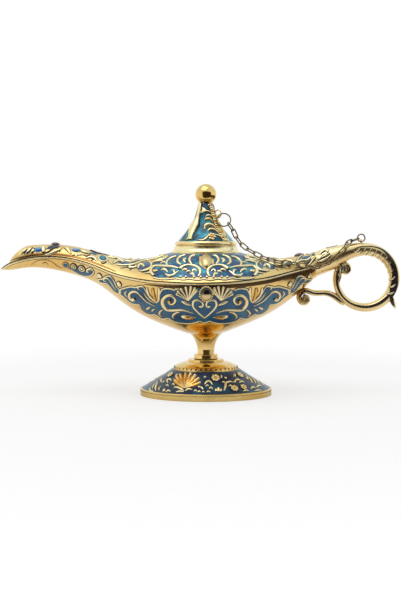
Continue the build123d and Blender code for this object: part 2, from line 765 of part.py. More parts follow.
handle_ring_z = crest_top + handle_ring_gap + handle_ring_wire / 2 + handle_ring_radius
handle_ring_middle = Vector(staple_x, 0, handle_ring_z)
with BuildPart() as handle_ring:
    with Locations(Plane(handle_ring_middle, x_dir=(1, 0, 0), z_dir=(0, -1, 0))):
        Torus(handle_ring_radius, handle_ring_wire / 2)
save(handle_ring.part, "handle_ring")

# Flat tag between the handle's ring and the chain, with a hole at each end
hold = radians(handle_ring_hold)
tag_start = handle_ring_middle + Vector(cos(hold), 0, sin(hold)) * handle_ring_radius
swing = radians(tag_swing)
drop = radians(tag_drop)
tag_way = Vector(-cos(swing) * cos(drop), -sin(swing) * cos(drop), -sin(drop))
tag_reach = tag_length - tag_width
tag_end = tag_start + tag_way * tag_reach
tag_normal = Vector(0, 0, 1) - tag_way * tag_way.Z
tag_plane = Plane((tag_start + tag_end) / 2, x_dir=tag_way, z_dir=tag_normal)
with BuildPart() as chain_tag:
    with BuildSketch(tag_plane):
        SlotOverall(tag_length, tag_width)
        with Locations((-tag_reach / 2, 0), (tag_reach / 2, 0)):
            Circle(tag_hole / 2, mode=Mode.SUBTRACT)
    extrude(amount=tag_thickness / 2, both=True)
save(chain_tag.part, "chain_tag")

# Chain: alternate links along a smooth line from the lid's ring, over the deck, to the tag
pull = radians(lid_ring_pull)
pull_way = ring_side * cos(pull) + ring_up * sin(pull)
route = [ring_middle + pull_way * (lid_ring_radius - link_overlap)]
for along, across, up in chain_shares:
    x = along * tail_reach
    y = across * body_half_width
    z = deck_height(x, y) + chain_lift if up is None else bowl_bottom + body_height * up
    route.append(Vector(x, y, z))
route.append(tag_end + tag_way * link_overlap)
with BuildLine() as chain_line:
    Spline(route, tangents=[pull_way, tag_way * -1])
chain_edge = chain_line.edges()[0]
link_count = 2 * round(chain_edge.length / link_pitch / 2)
joints = [chain_edge @ (i / link_count) for i in range(link_count + 1)]
link_length = chain_edge.length / link_count + 2 * link_overlap
side_out = (link_width - link_wire) / 2
straight = link_length / 2 - side_out
with BuildPart() as link:
    with BuildSketch(Plane.YZ):
        with Locations((side_out, 0), (-side_out, 0)):
            Circle(link_wire / 2)
    extrude(amount=straight, both=True)
    for end in (-straight, straight):
        with BuildSketch(Plane.YZ.offset(end)):
            with Locations((side_out, 0)):
                Circle(link_wire / 2)
        revolve(axis=Axis((end, 0, 0), (0, 0, -end)), revolution_arc=180)
with BuildPart() as chain:
    for i, (start, end) in enumerate(zip(joints, joints[1:])):
        way = (end - start).normalized()
        face = Vector(0, -1, 0) - way * Vector(0, -1, 0).dot(way)
        roll = link_roll if i % 2 else link_roll + 90
        normal = face.rotate(Axis((0, 0, 0), way), roll)
        add(place(link.part, Plane((start + end) / 2, x_dir=way, z_dir=normal)))
save(chain.part, "chain")
print(f"chain: {link_count} links of {link_length:.2f}, {chain_edge.length:.1f} long")
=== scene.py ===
# %% [markdown] # Dressing a genie's oil lamp  The lamp is a gold-toned casting with coloured
# enamel, set stones and a lid on a chain. Its solids come packed at real size, with the
# origin under the middle of the foot, the spout towards -X, the handle towards +X and the
# front towards -Y. They stay as they are: this script gives them their finishes and lays the
# raised ornament on them. Their box is kept, because what is added must stay in it.

# %% The packed lamp
import math
from functools import partial
import bpy
from mathutils import Matrix, Vector
from mathutils.bvhtree import BVHTree
from mathutils.geometry import delaunay_2d_cdt


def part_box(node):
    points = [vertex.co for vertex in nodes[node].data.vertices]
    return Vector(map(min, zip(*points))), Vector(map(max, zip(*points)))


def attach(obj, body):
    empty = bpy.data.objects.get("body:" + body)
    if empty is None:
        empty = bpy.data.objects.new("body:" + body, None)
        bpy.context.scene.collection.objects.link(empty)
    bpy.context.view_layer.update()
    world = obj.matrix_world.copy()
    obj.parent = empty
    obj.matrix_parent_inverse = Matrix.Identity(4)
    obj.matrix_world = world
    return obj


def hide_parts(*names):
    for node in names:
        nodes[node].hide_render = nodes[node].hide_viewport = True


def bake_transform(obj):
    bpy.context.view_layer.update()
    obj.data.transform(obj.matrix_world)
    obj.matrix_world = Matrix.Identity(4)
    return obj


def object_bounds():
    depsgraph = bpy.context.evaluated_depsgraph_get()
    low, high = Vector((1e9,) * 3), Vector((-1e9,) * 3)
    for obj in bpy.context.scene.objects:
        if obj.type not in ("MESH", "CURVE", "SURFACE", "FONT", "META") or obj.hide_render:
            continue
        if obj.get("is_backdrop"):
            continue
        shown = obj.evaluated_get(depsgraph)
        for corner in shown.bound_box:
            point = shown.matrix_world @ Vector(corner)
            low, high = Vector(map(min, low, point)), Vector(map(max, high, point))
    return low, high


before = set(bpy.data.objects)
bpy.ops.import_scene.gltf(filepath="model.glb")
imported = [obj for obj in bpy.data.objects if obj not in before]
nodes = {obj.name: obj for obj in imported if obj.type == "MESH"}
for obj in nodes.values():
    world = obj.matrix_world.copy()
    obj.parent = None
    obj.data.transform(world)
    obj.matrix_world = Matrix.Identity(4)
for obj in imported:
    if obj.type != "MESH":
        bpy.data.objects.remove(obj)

MM = 0.001
scene = bpy.context.scene
cad_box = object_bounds()
print("solids:", len(nodes), "box in mm:", [round(v / MM, 1) for c in cad_box for v in c])

# %% [markdown]
# ## The camera
#
# The photograph is a square side view from a little over half a metre, with the horizon at
# the height of the lid's seat. At the lamp's middle plane one pixel of it is 0.54 mm. That
# gives a rule from a pixel to a point, which places both the camera and, later, the ornament.
#
# The camera stands at the horizon's height and looks at the picture's centre, so it is tipped
# down by three degrees. Its lens follows from the distance and the height of the picture.

# %% The camera where the photographer stood
PIXEL = 0.54 * MM
AXIS_PIXEL = 205.9
GROUND_PIXEL = 394.5
PICTURE = (401, 601)


def on_picture(px, py):
    """The point of the lamp's middle plane that the picture shows at a pixel."""
    return Vector(((px - AXIS_PIXEL) * PIXEL, 0, (GROUND_PIXEL - py) * PIXEL))


eye = Vector((-2.9, -560, 79.7)) * MM
aim = on_picture(PICTURE[0] / 2, PICTURE[1] / 2) - eye
bpy.ops.object.camera_add(location=eye)
camera = bpy.context.object
camera.name = "camera"
camera.rotation_euler = aim.to_track_quat("-Z", "Y").to_euler()
camera.data.sensor_fit = "VERTICAL"
camera.data.lens = camera.data.sensor_height * aim.length / (PICTURE[1] * PIXEL)
camera.data.clip_start = 0.01
scene.camera = camera
scene.view_settings.view_transform = "Standard"
print("lens:", round(camera.data.lens, 1), "mm at", round(aim.length, 3), "m")

# %% [markdown]
# ## Shader sums as plain Python
#
# A material is a net of nodes joined by wires. Laying each node by hand takes many lines, so
# one small class stands for the end of a wire. Adding or multiplying such ends adds the Math
# nodes, and `add` lays any other node: its sockets first, its settings last. The nodes that
# several finishes need have methods of their own. `between` is used most: it takes where a
# soft step begins and where it ends.

# %% A class for the end of a wire
RAYS = 6        # how many rays look round for a hollow


class Wire:
    """An output socket in a node tree, with arithmetic that adds Math nodes."""

    def __init__(self, tree, socket=None):
        self.tree = tree
        self.socket = socket

    def add(self, kind, sockets=None, output=0, **settings):
        """Lay a node and return the end of its wire."""
        node = self.tree.nodes.new("ShaderNode" + kind)
        for name, value in settings.items():
            setattr(node, name, value)
        for name, value in (sockets or {}).items():
            if isinstance(value, Wire):
                self.tree.links.new(value.socket, node.inputs[name])
            else:
                node.inputs[name].default_value = value
        return Wire(self.tree, node.outputs[output] if len(node.outputs) else None)

    def maths(self, operation, *values):
        return self.add("Math", dict(enumerate(values)), operation=operation)

    def __add__(self, other):
        return self.maths("ADD", self, other)

    __radd__ = __add__

    def __mul__(self, other):
        return self.maths("MULTIPLY", self, other)

    __rmul__ = __mul__

    def __sub__(self, other):
        return self.maths("SUBTRACT", self, other)

    def __rsub__(self, other):
        return self.maths("SUBTRACT", other, self)

    def __truediv__(self, other):
        return self.maths("DIVIDE", self, other)

    def between(self, low, high):
        """0 below low and 1 above high, with a soft step between, or turned round."""
        return self.add("MapRange", {"Value": self, "From Min": low, "From Max": high},
                        interpolation_type="SMOOTHSTEP")

    def colours(self, first, second):
        """The first colour where this wire is 0 and the second where it is 1."""
        sockets = {0: self}
        for place, colour in ((6, first), (7, second)):
            sockets[place] = colour if isinstance(colour, Wire) else (*colour, 1)
        return self.add("Mix", sockets, 2, data_type="RGBA")

    def ramp(self, stops):
        """Colours along this wire, from rows of a place and a colour."""
        ramp = self.add("ValToRGB", {"Fac": self})
        elements = ramp.socket.node.color_ramp.elements
        while len(elements) < len(stops):
            elements.new(0.5)
        for element, (place, colour) in zip(elements, stops):
            element.position = place
            element.color = (*colour, 1)
        return ramp

    def ray(self, kind):
        """1 where a ray of this kind looks, such as one that left the camera."""
        return self.add("LightPath", output=f"Is {kind} Ray")

    def part(self, axis):
        """One of the three numbers of a place or a direction."""
        return self.add("SeparateXYZ", {"Vector": self}, axis)

    def noise(self, scale, detail=2.0):
        """A soft noise over the places that this wire gives."""
        return self.add("TexNoise", {"Vector": self, "Scale": scale, "Detail": detail})

    def open_air(self, reach):
        """How open the surface is within a reach in mm: 1 in the open, 0 in a hollow."""
        return self.add("AmbientOcclusion", {"Distance": reach * MM}, "AO", samples=RAYS)

    def bump(self, strength, depth):
        """A normal tilted by this wire as a height, with a depth in mm."""
        sockets = {"Strength": strength, "Distance": depth * MM, "Height": self}
        return self.add("Bump", sockets, "Normal")


def new_finish(name):
    """An empty material, a wire to lay its nodes with, and places on the piece."""
    made = bpy.data.materials.new(name)
    made.use_nodes = True
    made.node_tree.nodes.clear()
    wire = Wire(made.node_tree)
    return made, wire, wire.add("TexCoord", output="Object")


print("a wire has these methods:", ", ".join(n for n in vars(Wire) if not n.startswith("_")))

# %% [markdown]
# ## A light tent
#
# The lid's ball is a round mirror, and it shows how the lamp was lit: white cloth on all
# sides, and one dark opening in front, where the photographer stood. That opening is what
# draws the dark bands on the stem, the foot and under the body's edge. On the right a dark
# table shows below the cloth.
#
# The world plays the tent. Seen by the camera it is white, seen in a reflection it is white
# with the dark opening, and as light it is a plain even white. The opening's edges are soft:
# each has a place where it begins and one where it is full, across or upward over ahead.

# %% The tent
OPENING_LEFT, OPENING_RIGHT = (-0.95, -0.75), (1.75, 1.45)
OPENING_LOW, OPENING_HIGH = (-2.6, -1.8), (0.72, 0.58)
TABLE_BELOW, TABLE_RIGHT = (-0.04, -0.16), (0.6, 0.8)
CLOTH_LOW, CLOTH_HIGH = (1.0, 1.0, 0.97), (0.80, 0.90, 0.93)
UNLIT = (0.035, 0.022, 0.015)
TENT_LIGHT = 0.78
world = bpy.data.worlds.new("light tent")
scene.world = world
world.use_nodes = True
world.node_tree.nodes.clear()
tent = Wire(world.node_tree)
way = tent.add("TexCoord", output="Generated")
right, behind, up = [way.part(axis) for axis in "XYZ"]
ahead = 0 - behind
across = right / ahead
upward = up / ahead
opening = (across.between(*OPENING_LEFT) * across.between(*OPENING_RIGHT)
           * upward.between(*OPENING_LOW) * upward.between(*OPENING_HIGH)
           * ahead.between(0.02, 0.1))
cloth = up.between(-0.2, 0.8).colours(CLOTH_LOW, CLOTH_HIGH)
table = up.between(*TABLE_BELOW) * right.between(*TABLE_RIGHT)
unlit = tent.maths("MAXIMUM", opening, table)
mirrored_tent = unlit.colours(cloth, UNLIT)
in_view = tent.ray("Camera")
mirror = tent.maths("MAXIMUM", tent.ray("Glossy"), tent.ray("Transmission"))
colour = mirror.colours([TENT_LIGHT] * 3, mirrored_tent)
colour = in_view.colours(colour, (1.0, 1.0, 1.0))
backdrop = tent.add("Background", {"Color": colour, "Strength": 1.0})
tent.add("OutputWorld", {"Surface": backdrop})

light_place, light_aim = Vector((-0.12, -0.15, 0.62)), Vector((0, 0, 0.05))
bpy.ops.object.light_add(type="AREA", location=light_place)
lamp_above = bpy.context.object
lamp_above.name = "soft light above"
lamp_above.data.size = 0.45
lamp_above.data.energy = 1.1
lamp_above.rotation_euler = (light_place - light_aim).to_track_quat("Z", "Y").to_euler()
print("tent:", len(world.node_tree.nodes), "nodes, one soft light")

# %% [markdown]
# ## The floor
#
# The lamp stands on a white sheet that ends not far in front of it. A disc does for the
# sheet. It fades out before its rim, so no horizon shows, and part of its light is its own
# for the camera, which keeps it white while the lamp's shadow still falls on it. In a mirror
# it ends at a hem in front and on the right, as the real sheet did.

# %% The white sheet
SHEET_RADIUS, SHEET_FADE = 0.32, (0.14, 0.30)
HEM_FRONT, HEM_RIGHT = (0.095, 0.125), (0.15, 0.20)
floor_finish, sheet, spot = new_finish("white sheet")
far = sheet.add("VectorMath", {0: spot}, "Value", operation="LENGTH")
shade = sheet.add("BsdfDiffuse", {"Color": (0.9, 0.9, 0.9, 1)})
white = sheet.add("Emission", {"Color": (1, 1, 1, 1), "Strength": 1.0})
for_camera = sheet.ray("Camera") * 0.6
bright = sheet.add("MixShader", {0: for_camera, 1: shade, 2: white})
clear = sheet.add("BsdfTransparent")
in_mirror = sheet.ray("Glossy")
right, behind = [spot.part(axis) for axis in "XY"]
hem = sheet.maths("MAXIMUM", (0 - behind).between(*HEM_FRONT), right.between(*HEM_RIGHT))
edge = sheet.maths("MAXIMUM", far.between(*SHEET_FADE), hem * in_mirror)
faded = sheet.add("MixShader", {0: edge, 1: bright, 2: clear})
sheet.add("OutputMaterial", {"Surface": faded})

bpy.ops.object.select_all(action="DESELECT")
bpy.ops.mesh.primitive_circle_add(vertices=96, radius=SHEET_RADIUS, fill_type="NGON")
floor = bpy.context.object
floor.name = "floor"
floor.data.materials.append(floor_finish)
floor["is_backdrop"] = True
print("floor:", round(floor.dimensions.x, 2), "m across")

# %% [markdown]
# ## Gold tone
#
# The casting is plated in a pale gold and polished, and the hollows keep a patina of dark
# brown that was rubbed off everywhere else, and shade falls in them. In the tent it shows pale
# yellow where it mirrors the cloth, amber where it mirrors itself, and nearly black where it
# mirrors the opening.
#
# So the finish is a mirror-like metal. A slow noise shifts its colour between pale and warm,
# a finer one varies the polish and dents the surface a little, and the ambient occlusion
# node finds the hollows, where dark brown is painted for the patina and for the shade that
# falls there. A `patina` attribute darkens what is meant to be a groove, as patina and painted
# shade.

# %% Gold, pale gold and old brass
PATINA_AND_SHADE = (0.030, 0.014, 0.006)
CLOUDS, GRAIN = 55.0, 520.0     # how fine the slow and the fast noise are
DENTS, DENT_DEPTH = 0.04, 0.2


def metal(name, pale, warm, polish, hollow_reach):
    """A cast and plated metal: its colour, its polish, patina and painted shade in its hollows,
    fine dents.
    """
    made, wire, place = new_finish(name)
    cloud = place.noise(CLOUDS, 3.0)
    grain = place.noise(GRAIN)
    open_air = wire.open_air(hollow_reach)
    groove = wire.add("Attribute", output="Fac", attribute_name="patina")
    # painted shade with patina: hollows found by occlusion, and what the patina attribute marks,
    # turn dark brown
    dark = wire.maths("MAXIMUM", open_air.between(0.62, 0.18) * 0.85, groove)
    colour = cloud.between(0.35, 0.7).colours(pale, warm)
    colour = dark.colours(colour, PATINA_AND_SHADE)
    rough = grain.between(0.3, 0.8) * (polish[1] - polish[0]) + polish[0] + dark * 0.22
    shader = wire.add("BsdfPrincipled", {"Base Color": colour, "Metallic": 1.0,
                                         "Roughness": rough,
                                         "Normal": grain.bump(DENTS, DENT_DEPTH)})
    wire.add("OutputMaterial", {"Surface": shader})
    return made


gold = metal("polished gold", (0.86, 0.61, 0.24), (0.80, 0.50, 0.15), (0.10, 0.22), 1.6)
pale_gold = metal("pale gold relief", (1.0, 0.86, 0.52), (0.96, 0.76, 0.38), (0.26, 0.42), 0.8)
satin_gold = metal("satin gold", (0.84, 0.60, 0.25), (0.76, 0.48, 0.16), (0.30, 0.42), 1.6)
# a lit copy of the gold: paler, painted light for the handle and the lid's rim
lit_gold = metal("gold in painted light", (0.97, 0.78, 0.42), (0.88, 0.62, 0.27), (0.26, 0.38), 1.6)
# a shaded copy of the gold: darker, painted shade for the foot's rim
shaded_gold = metal("gold in painted shade", (0.78, 0.57, 0.22), (0.66, 0.44, 0.14), (0.14, 0.26), 1.6)
amber_gold = metal("amber gold", (0.90, 0.50, 0.12), (0.74, 0.36, 0.07), (0.20, 0.34), 0.8)
# painted shade with patina, for the spout's channel
brown = metal("brown painted shade, with patina", (0.40, 0.20, 0.07), (0.28, 0.12, 0.04), (0.25, 0.42), 0.5)
# painted shade between the bezels' beads and painted dark reflection under the ridge, with patina
umber = metal("dark brown painted shade and reflection, with patina", (0.12, 0.070, 0.030), (0.08, 0.045, 0.02), (0.35, 0.5), 0.5)
old_brass = metal("old brass", (0.34, 0.25, 0.13), (0.22, 0.15, 0.07), (0.26, 0.42), 0.5)
steel = metal("plain steel", (0.58, 0.57, 0.55), (0.50, 0.49, 0.47), (0.25, 0.40), 1.0)
print("metals:", gold.name, pale_gold.name, amber_gold.name, old_brass.name, steel.name)

# %% [markdown]
# ## Enamel
#
# Enamel is coloured glass or lacquer that fills the low parts of the casting. It pools darker
# beside the raised metal, where shade is painted into it as well, and it is glossy. On the deck
# and the lid it is thin enough for the bright metal under it to shine through, so there it
# shimmers between colours.
#
# One function makes them all: a ramp over a noise gives the colours, the occlusion node the
# dark pooling and painted shade, a share of metal the shimmer, and a clear coat the gloss.

# %% Blue, teal, navy and turquoise enamel
DEEP_POOL_AND_SHADE = (0.004, 0.010, 0.025)
POOL_REACH, FLAKES, FLAKE_DEPTH = 1.2, 900.0, 0.15


def enamel(name, stops, scale, metallic, rough, sparkle, pool_and_shade=1.0):
    """A glossy coloured fill: colours by noise, darker in hollows where it pools and where shade
    is painted, some metal below.
    """
    made, wire, place = new_finish(name)
    cloud = place.noise(scale, 4.0)
    flake = place.noise(FLAKES, 1.0)
    colour = cloud.between(0.3, 0.7).ramp(stops)
    # painted shade with pooling: occlusion darkens the enamel in hollows and beside raised metal
    dark = wire.open_air(POOL_REACH).between(0.75, 0.25) * pool_and_shade
    colour = dark.colours(colour, DEEP_POOL_AND_SHADE)
    shader = wire.add("BsdfPrincipled", {"Base Color": colour, "Metallic": metallic,
                                         "Roughness": rough, "Coat Weight": 0.25,
                                         "Coat Roughness": 0.08,
                                         "Normal": flake.bump(sparkle, FLAKE_DEPTH)})
    wire.add("OutputMaterial", {"Surface": shader})
    return made


blue_enamel = enamel("blue enamel",
                     [(0.0, (0.004, 0.038, 0.104)), (0.5, (0.008, 0.074, 0.162)),
                      (1.0, (0.010, 0.120, 0.200))],
                     110.0, 0.15, 0.32, 0.15)
teal_enamel = enamel("teal enamel",
                     [(0.0, (0.030, 0.045, 0.19)), (0.35, (0.006, 0.070, 0.17)),
                      (0.62, (0.008, 0.120, 0.20)), (1.0, (0.03, 0.30, 0.38))],
                     300.0, 0.45, 0.30, 0.35)
navy_enamel = enamel("navy enamel",
                     [(0.0, (0.012, 0.018, 0.052)), (0.6, (0.014, 0.042, 0.092)),
                      (1.0, (0.010, 0.090, 0.140))],
                     150.0, 0.25, 0.34, 0.15)
turquoise = enamel("turquoise lacquer",
                   [(0.0, (0.012, 0.045, 0.080)), (0.4, (0.020, 0.120, 0.17)),
                    (0.7, (0.020, 0.26, 0.32)), (1.0, (0.03, 0.58, 0.64))],
                   130.0, 0.85, 0.20, 0.2)
# the dark lines and rings round the relief, slits and notches: patina with painted shade
outline_dark = enamel("dark outline",
                      [(0.0, (0.010, 0.008, 0.012)), (1.0, (0.026, 0.014, 0.012))],
                      200.0, 0.3, 0.45, 0.2, 0.0)
maroon = enamel("maroon ground",
                [(0.0, (0.035, 0.010, 0.008)), (1.0, (0.085, 0.028, 0.012))],
                200.0, 0.4, 0.35, 0.2, 0.5)
print("enamels:", blue_enamel.name, teal_enamel.name, navy_enamel.name, turquoise.name)

# %% [markdown]
# ## Stones
#
# The stones are glass cabochons: deep red or amber, nearly black in the middle, where the
# light goes in and doesn't come back, and lighter low down, where it comes out again. The
# two on the deck are gold-pearl drops.
#
# Real glass would need the light to be traced through a tiny dome. A glossy coat over a
# colour that changes with the way the surface faces gives the same look and stays the same
# from every side, so the finish blends two colours by Layer Weight.

# %% Stones


def stone(name, heart, rim, foot=None, middle=0.0):
    """A polished dome, darker where it is seen straight on, and lit below its middle."""
    made, wire, place = new_finish(name)
    cloud = place.noise(300.0)
    edge = wire.add("LayerWeight", {"Blend": 0.45}, "Facing")
    colour = (edge * 0.8 + cloud * 0.3).between(0.15, 0.85).colours(heart, rim)
    if foot:
        height = place.part("Z")
        colour = height.between(middle + 0.1 * MM, middle - 1.1 * MM).colours(colour, foot)
    shader = wire.add("BsdfPrincipled", {"Base Color": colour, "Roughness": 0.06,
                                         "Coat Weight": 1.0, "Coat Roughness": 0.02,
                                         "IOR": 1.55})
    wire.add("OutputMaterial", {"Surface": shader})
    return made


stone_ends = [corner[2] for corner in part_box("bowl_stone_front")]
amber = stone("amber stone", (0.008, 0.006, 0.006), (0.10, 0.05, 0.015), (0.72, 0.50, 0.20),
              sum(stone_ends) / 2)
garnet = stone("garnet stone", (0.020, 0.004, 0.008), (0.16, 0.02, 0.03))
sky_stone = stone("blue stone", (0.015, 0.10, 0.32), (0.10, 0.42, 0.66))
pearl = metal("pearl gold drop", (0.76, 0.60, 0.32), (0.62, 0.42, 0.17), (0.28, 0.40), 0.5)
print("stones:", amber.name, garnet.name, sky_stone.name, pearl.name)

# %% [markdown]
# ## Finishes on the solids
#
# Every solid gets one of these. The body is gold throughout: its enamel is laid on it below, as
# thin fills of their own, because a fill with real edges stays crisp where a painted mask
# would blur. Only the lid's cone and the foot's skirt are covered in enamel from edge to edge,
# so their solids carry it. The bezels are dark brown under their gold beads, patina with shade
# painted into the gaps between the beads. Paler gold is painted light on the handle and the
# lid's rim, and a painted reflection of the white cloth on the mouth's collar; darker gold is
# painted shade on the foot's rim.

# %% Dress the solids
dressing = {
    gold: ["lower_bowl", "foot_cap", "stem_collar", "lid_spigot", "finial",
           "lid_lug", "chain_staple"],
    satin_gold: ["upper_deck"],
    # painted light: the handle and the lid's rim in a paler gold
    lit_gold: ["handle", "handle_scroll", "lid_rim"],
    # painted reflection: the collar in pale gold, as it mirrors the white cloth
    pale_gold: ["mouth_collar"],
    # painted shade: the foot's rim in a darker gold
    shaded_gold: ["foot_rim"],
    # patina, with painted shade in the gaps between the beads
    umber: ["bowl_bezel_front", "bowl_bezel_back"],
    navy_enamel: ["foot_skirt"],
    turquoise: ["lid_cone"],
    old_brass: ["lid_ring", "handle_ring", "chain_tag", "chain"],
    steel: ["tie_bolt", "tie_washer", "finial_nut"],
    amber: ["bowl_stone_front", "bowl_stone_back"],
    garnet: ["crest_stone", "tail_stone"],
    sky_stone: ["side_stones"],
    pearl: ["deck_stone_front", "deck_stone_back"],
}
for finish, names in dressing.items():
    for name in names:
        nodes[name].data.materials.clear()
        nodes[name].data.materials.append(finish)
print("dressed:", sum(len(names) for names in dressing.values()), "solids")

# %% [markdown]
# ## Tools for the relief
#
# The casting is covered in raised scrolls, leaves, fans and beads. They were drawn off the
# photograph: each stroke is a row of points in its pixels, each with a width in millimetres.
# A ray from the camera through the pixel finds the point of the lamp's surface, so a stroke
# ends up where the photograph shows it, bent over the surface by itself.
#
# A smooth curve through the points keeps the tables short. A stroke then becomes a strand:
# half-round, closed, its edges sunk a little below the surface, and darker at its edges, with
# patina and painted shade. Spheres and cylinders can't be bent like this, so it is mesh code.
#
# Each piece is made for the front and copied for the back: mirrored on the body, turned half
# round on the lid and the foot. In the picture the bowl and the deck each have an axis too.

# %% Rays, curves and strands
EDGE_DARKNESS = 0.75
ROOT, SINK = 0.3, 0.04      # how deep a strand's sides and its top's edges are sunk, in mm
THINNEST = 0.12             # the least width of a strand, in mm
STEP = 0.7                  # pixels between the points of a stroke
SHARP = math.radians(50)    # angle from which an edge isn't smoothed
NEARER = Vector((0, -0.02, 0))
MIRRORED, HALF_TURN = (1, -1, 1), (-1, -1, 1)
BODY_AXIS, DECK_AXIS = 204.6, 203.9
trees = {}


def tree_of(name):
    """A search tree over a solid's triangles."""
    if name not in trees:
        mesh = nodes[name].data
        trees[name] = BVHTree.FromPolygons([v.co.copy() for v in mesh.vertices],
                                           [list(p.vertices) for p in mesh.polygons])
    return trees[name]


def seen(name, px, py):
    """Point and normal of a solid at a pixel, or its nearest ones just off its edge."""
    target = on_picture(px, py)
    place, normal = tree_of(name).ray_cast(eye, (target - eye).normalized())[:2]
    if place is None:
        place, normal = tree_of(name).find_nearest(target + NEARER)[:2]
    return place, normal


def smooth(rows, step=STEP):
    """Points on a Catmull-Rom curve through rows of numbers, about a step apart."""
    found = []
    last = len(rows) - 1
    for i in range(last):
        around = [rows[max(0, min(last, i + k))] for k in (-1, 0, 1, 2)]
        length = math.dist(rows[i][:2], rows[i + 1][:2])
        count = max(1, round(length / step))
        for j in range(count):
            u = j / count
            weights = (-u**3 + 2 * u**2 - u, 3 * u**3 - 5 * u**2 + 2,
                       -3 * u**3 + 4 * u**2 + u, u**3 - u**2)
            found.append(tuple(sum(w * row[k] for w, row in zip(weights, around)) / 2
                               for k in range(len(rows[0]))))
    return found + [tuple(rows[-1])]


def shown(mesh, name, finish):
    """Put a mesh in the scene with its finish, selected for the next operators."""
    piece = bpy.data.objects.new(name + "_front", mesh)
    scene.collection.objects.link(piece)
    mesh.materials.append(finish)
    bpy.ops.object.select_all(action="DESELECT")
    bpy.context.view_layer.objects.active = piece
    piece.select_set(True)
    return piece


def front_and_back(piece, name, scale, body):
    """Smooth a piece and copy it for the back, mirrored or half a turn round."""
    bpy.ops.object.shade_smooth_by_angle(angle=SHARP)
    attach(piece, body)
    mesh = piece.data.copy()
    mesh.transform(Matrix.Diagonal((*scale, 1)))
    if scale[0] * scale[1] < 0:
        mesh.flip_normals()
    copy = bpy.data.objects.new(name + "_back", mesh)
    scene.collection.objects.link(copy)
    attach(copy, body)
    return piece


class Relief:
    """Gathers closed strands, bosses and beads, and makes one piece of them."""

    def __init__(self):
        self.points = []
        self.faces = []
        self.dark = []

    def tube(self, rings, darks):
        """Join rings of points, each point with its darkness, and cap both ends."""
        start, size = len(self.points), len(rings[0])
        self.points += [point for ring in rings for point in ring]
        self.dark += darks
        end = start + (len(rings) - 1) * size
        for a in range(start, end, size):
            b = a + size
            for k in range(size):
                m = (k + 1) % size
                self.faces.append((a + k, a + m, b + m, b + k))
        self.faces.append(tuple(range(start + size - 1, start - 1, -1)))
        self.faces.append(tuple(range(end, end + size)))

    def strand(self, track, height=0.42, flat=None, lift=0.0, edge=EDGE_DARKNESS):
        """Lay a half-round strand along (place, normal, width in mm) rows.

        Its height is a share of the width, or flat gives it in mm for the whole strand.
        """
        rings = []
        # painted shade with patina: darkest at the strand's foot, where it meets the surface, none
        # on its top
        darks = [1, edge, edge * 0.35, 0, 0, 0, edge * 0.35, edge, 1]
        arch = len(darks) - 2
        for i, (place, normal, width) in enumerate(track):
            before, after = track[max(0, i - 1)][0], track[min(len(track) - 1, i + 1)][0]
            ahead = (after - before).normalized()
            side = normal.cross(ahead).normalized()
            half = max(width, THINNEST) / 2 * MM
            tall = (flat if flat is not None else width * height) * MM
            ring = [place + side * half - normal * ROOT * MM]
            for k in range(arch):
                angle = math.pi * k / (arch - 1)
                up = math.sin(angle) * tall
                ring.append(place + side * half * math.cos(angle)
                            + normal * (up + (lift - SINK) * MM))
            ring.append(place - side * half - normal * ROOT * MM)
            rings.append(ring)
        self.tube(rings, darks * len(rings))

    def boss(self, place, normal, profile, count=20, stretch=1.0, along=None):
        """Turn a profile of (radius, height, darkness) in mm about a surface's normal."""
        along = along or Vector((1, 0, 0))
        side = (along - normal * along.dot(normal)).normalized()
        other = normal.cross(side)
        rings, darks = [], []
        for radius, height, darkness in [(profile[0][0], -ROOT, 1.0)] + profile:
            ring = []
            for k in range(count):
                turn = math.tau * k / count
                ring.append(place + (side * math.cos(turn) * stretch
                                     + other * math.sin(turn)) * radius * MM
                            + normal * height * MM)
            rings.append(ring)
            darks += [darkness] * count
        self.tube(rings, darks)

    def made(self, name, finish, scale=MIRRORED, body="lamp"):
        """Turn what was gathered into a piece for the front and one for the back."""
        mesh = bpy.data.meshes.new(name + "_front")
        mesh.from_pydata(self.points, [], self.faces)
        # the patina attribute holds patina and painted shade at the feet of strands and bosses
        layer = mesh.attributes.new("patina", "FLOAT", "POINT")
        layer.data.foreach_set("value", self.dark)
        piece = shown(mesh, name, finish)
        bpy.ops.object.mode_set(mode="EDIT")
        bpy.ops.mesh.select_all(action="SELECT")
        bpy.ops.mesh.normals_make_consistent(inside=False)
        bpy.ops.object.mode_set(mode="OBJECT")
        return front_and_back(piece, name, scale, body)


on_bowl, on_deck = partial(seen, "lower_bowl"), partial(seen, "upper_deck")
on_lid, on_skirt = partial(seen, "lid_cone"), partial(seen, "foot_skirt")
on_handle, on_scroll = partial(seen, "handle"), partial(seen, "handle_scroll")
print("rays hit:", on_bowl(BODY_AXIS, 310)[0] / MM, on_deck(150, 265)[0] / MM)

# %% [markdown]
# ## Tools for the enamel
#
# An enamel fill is a thin sheet with the outline of its field. The outline is drawn in pixels
# too, in runs that meet at cusps. Points on a fine grid inside it let the sheet bend, and a
# constrained triangulation joins them all without crossing the outline.

# %% Panels of enamel
FILL_THICKNESS = 0.25
INSIDE_ONLY, CLOSEST = 1, 1e-6      # what the triangulation keeps, and when points are one


def outline_of(runs, step=1.0):
    """One closed row of points from runs that are each smooth and meet at cusps."""
    found = []
    for run in runs:
        found += smooth(run, step)[:-1]
    return found


def inside(outline, x, y):
    """Whether a point lies inside an outline."""
    hit = False
    for (ax, ay), (bx, by) in zip(outline, outline[1:] + outline[:1]):
        if (ay > y) != (by > y) and x < (bx - ax) * (y - ay) / (by - ay) + ax:
            hit = not hit
    return hit


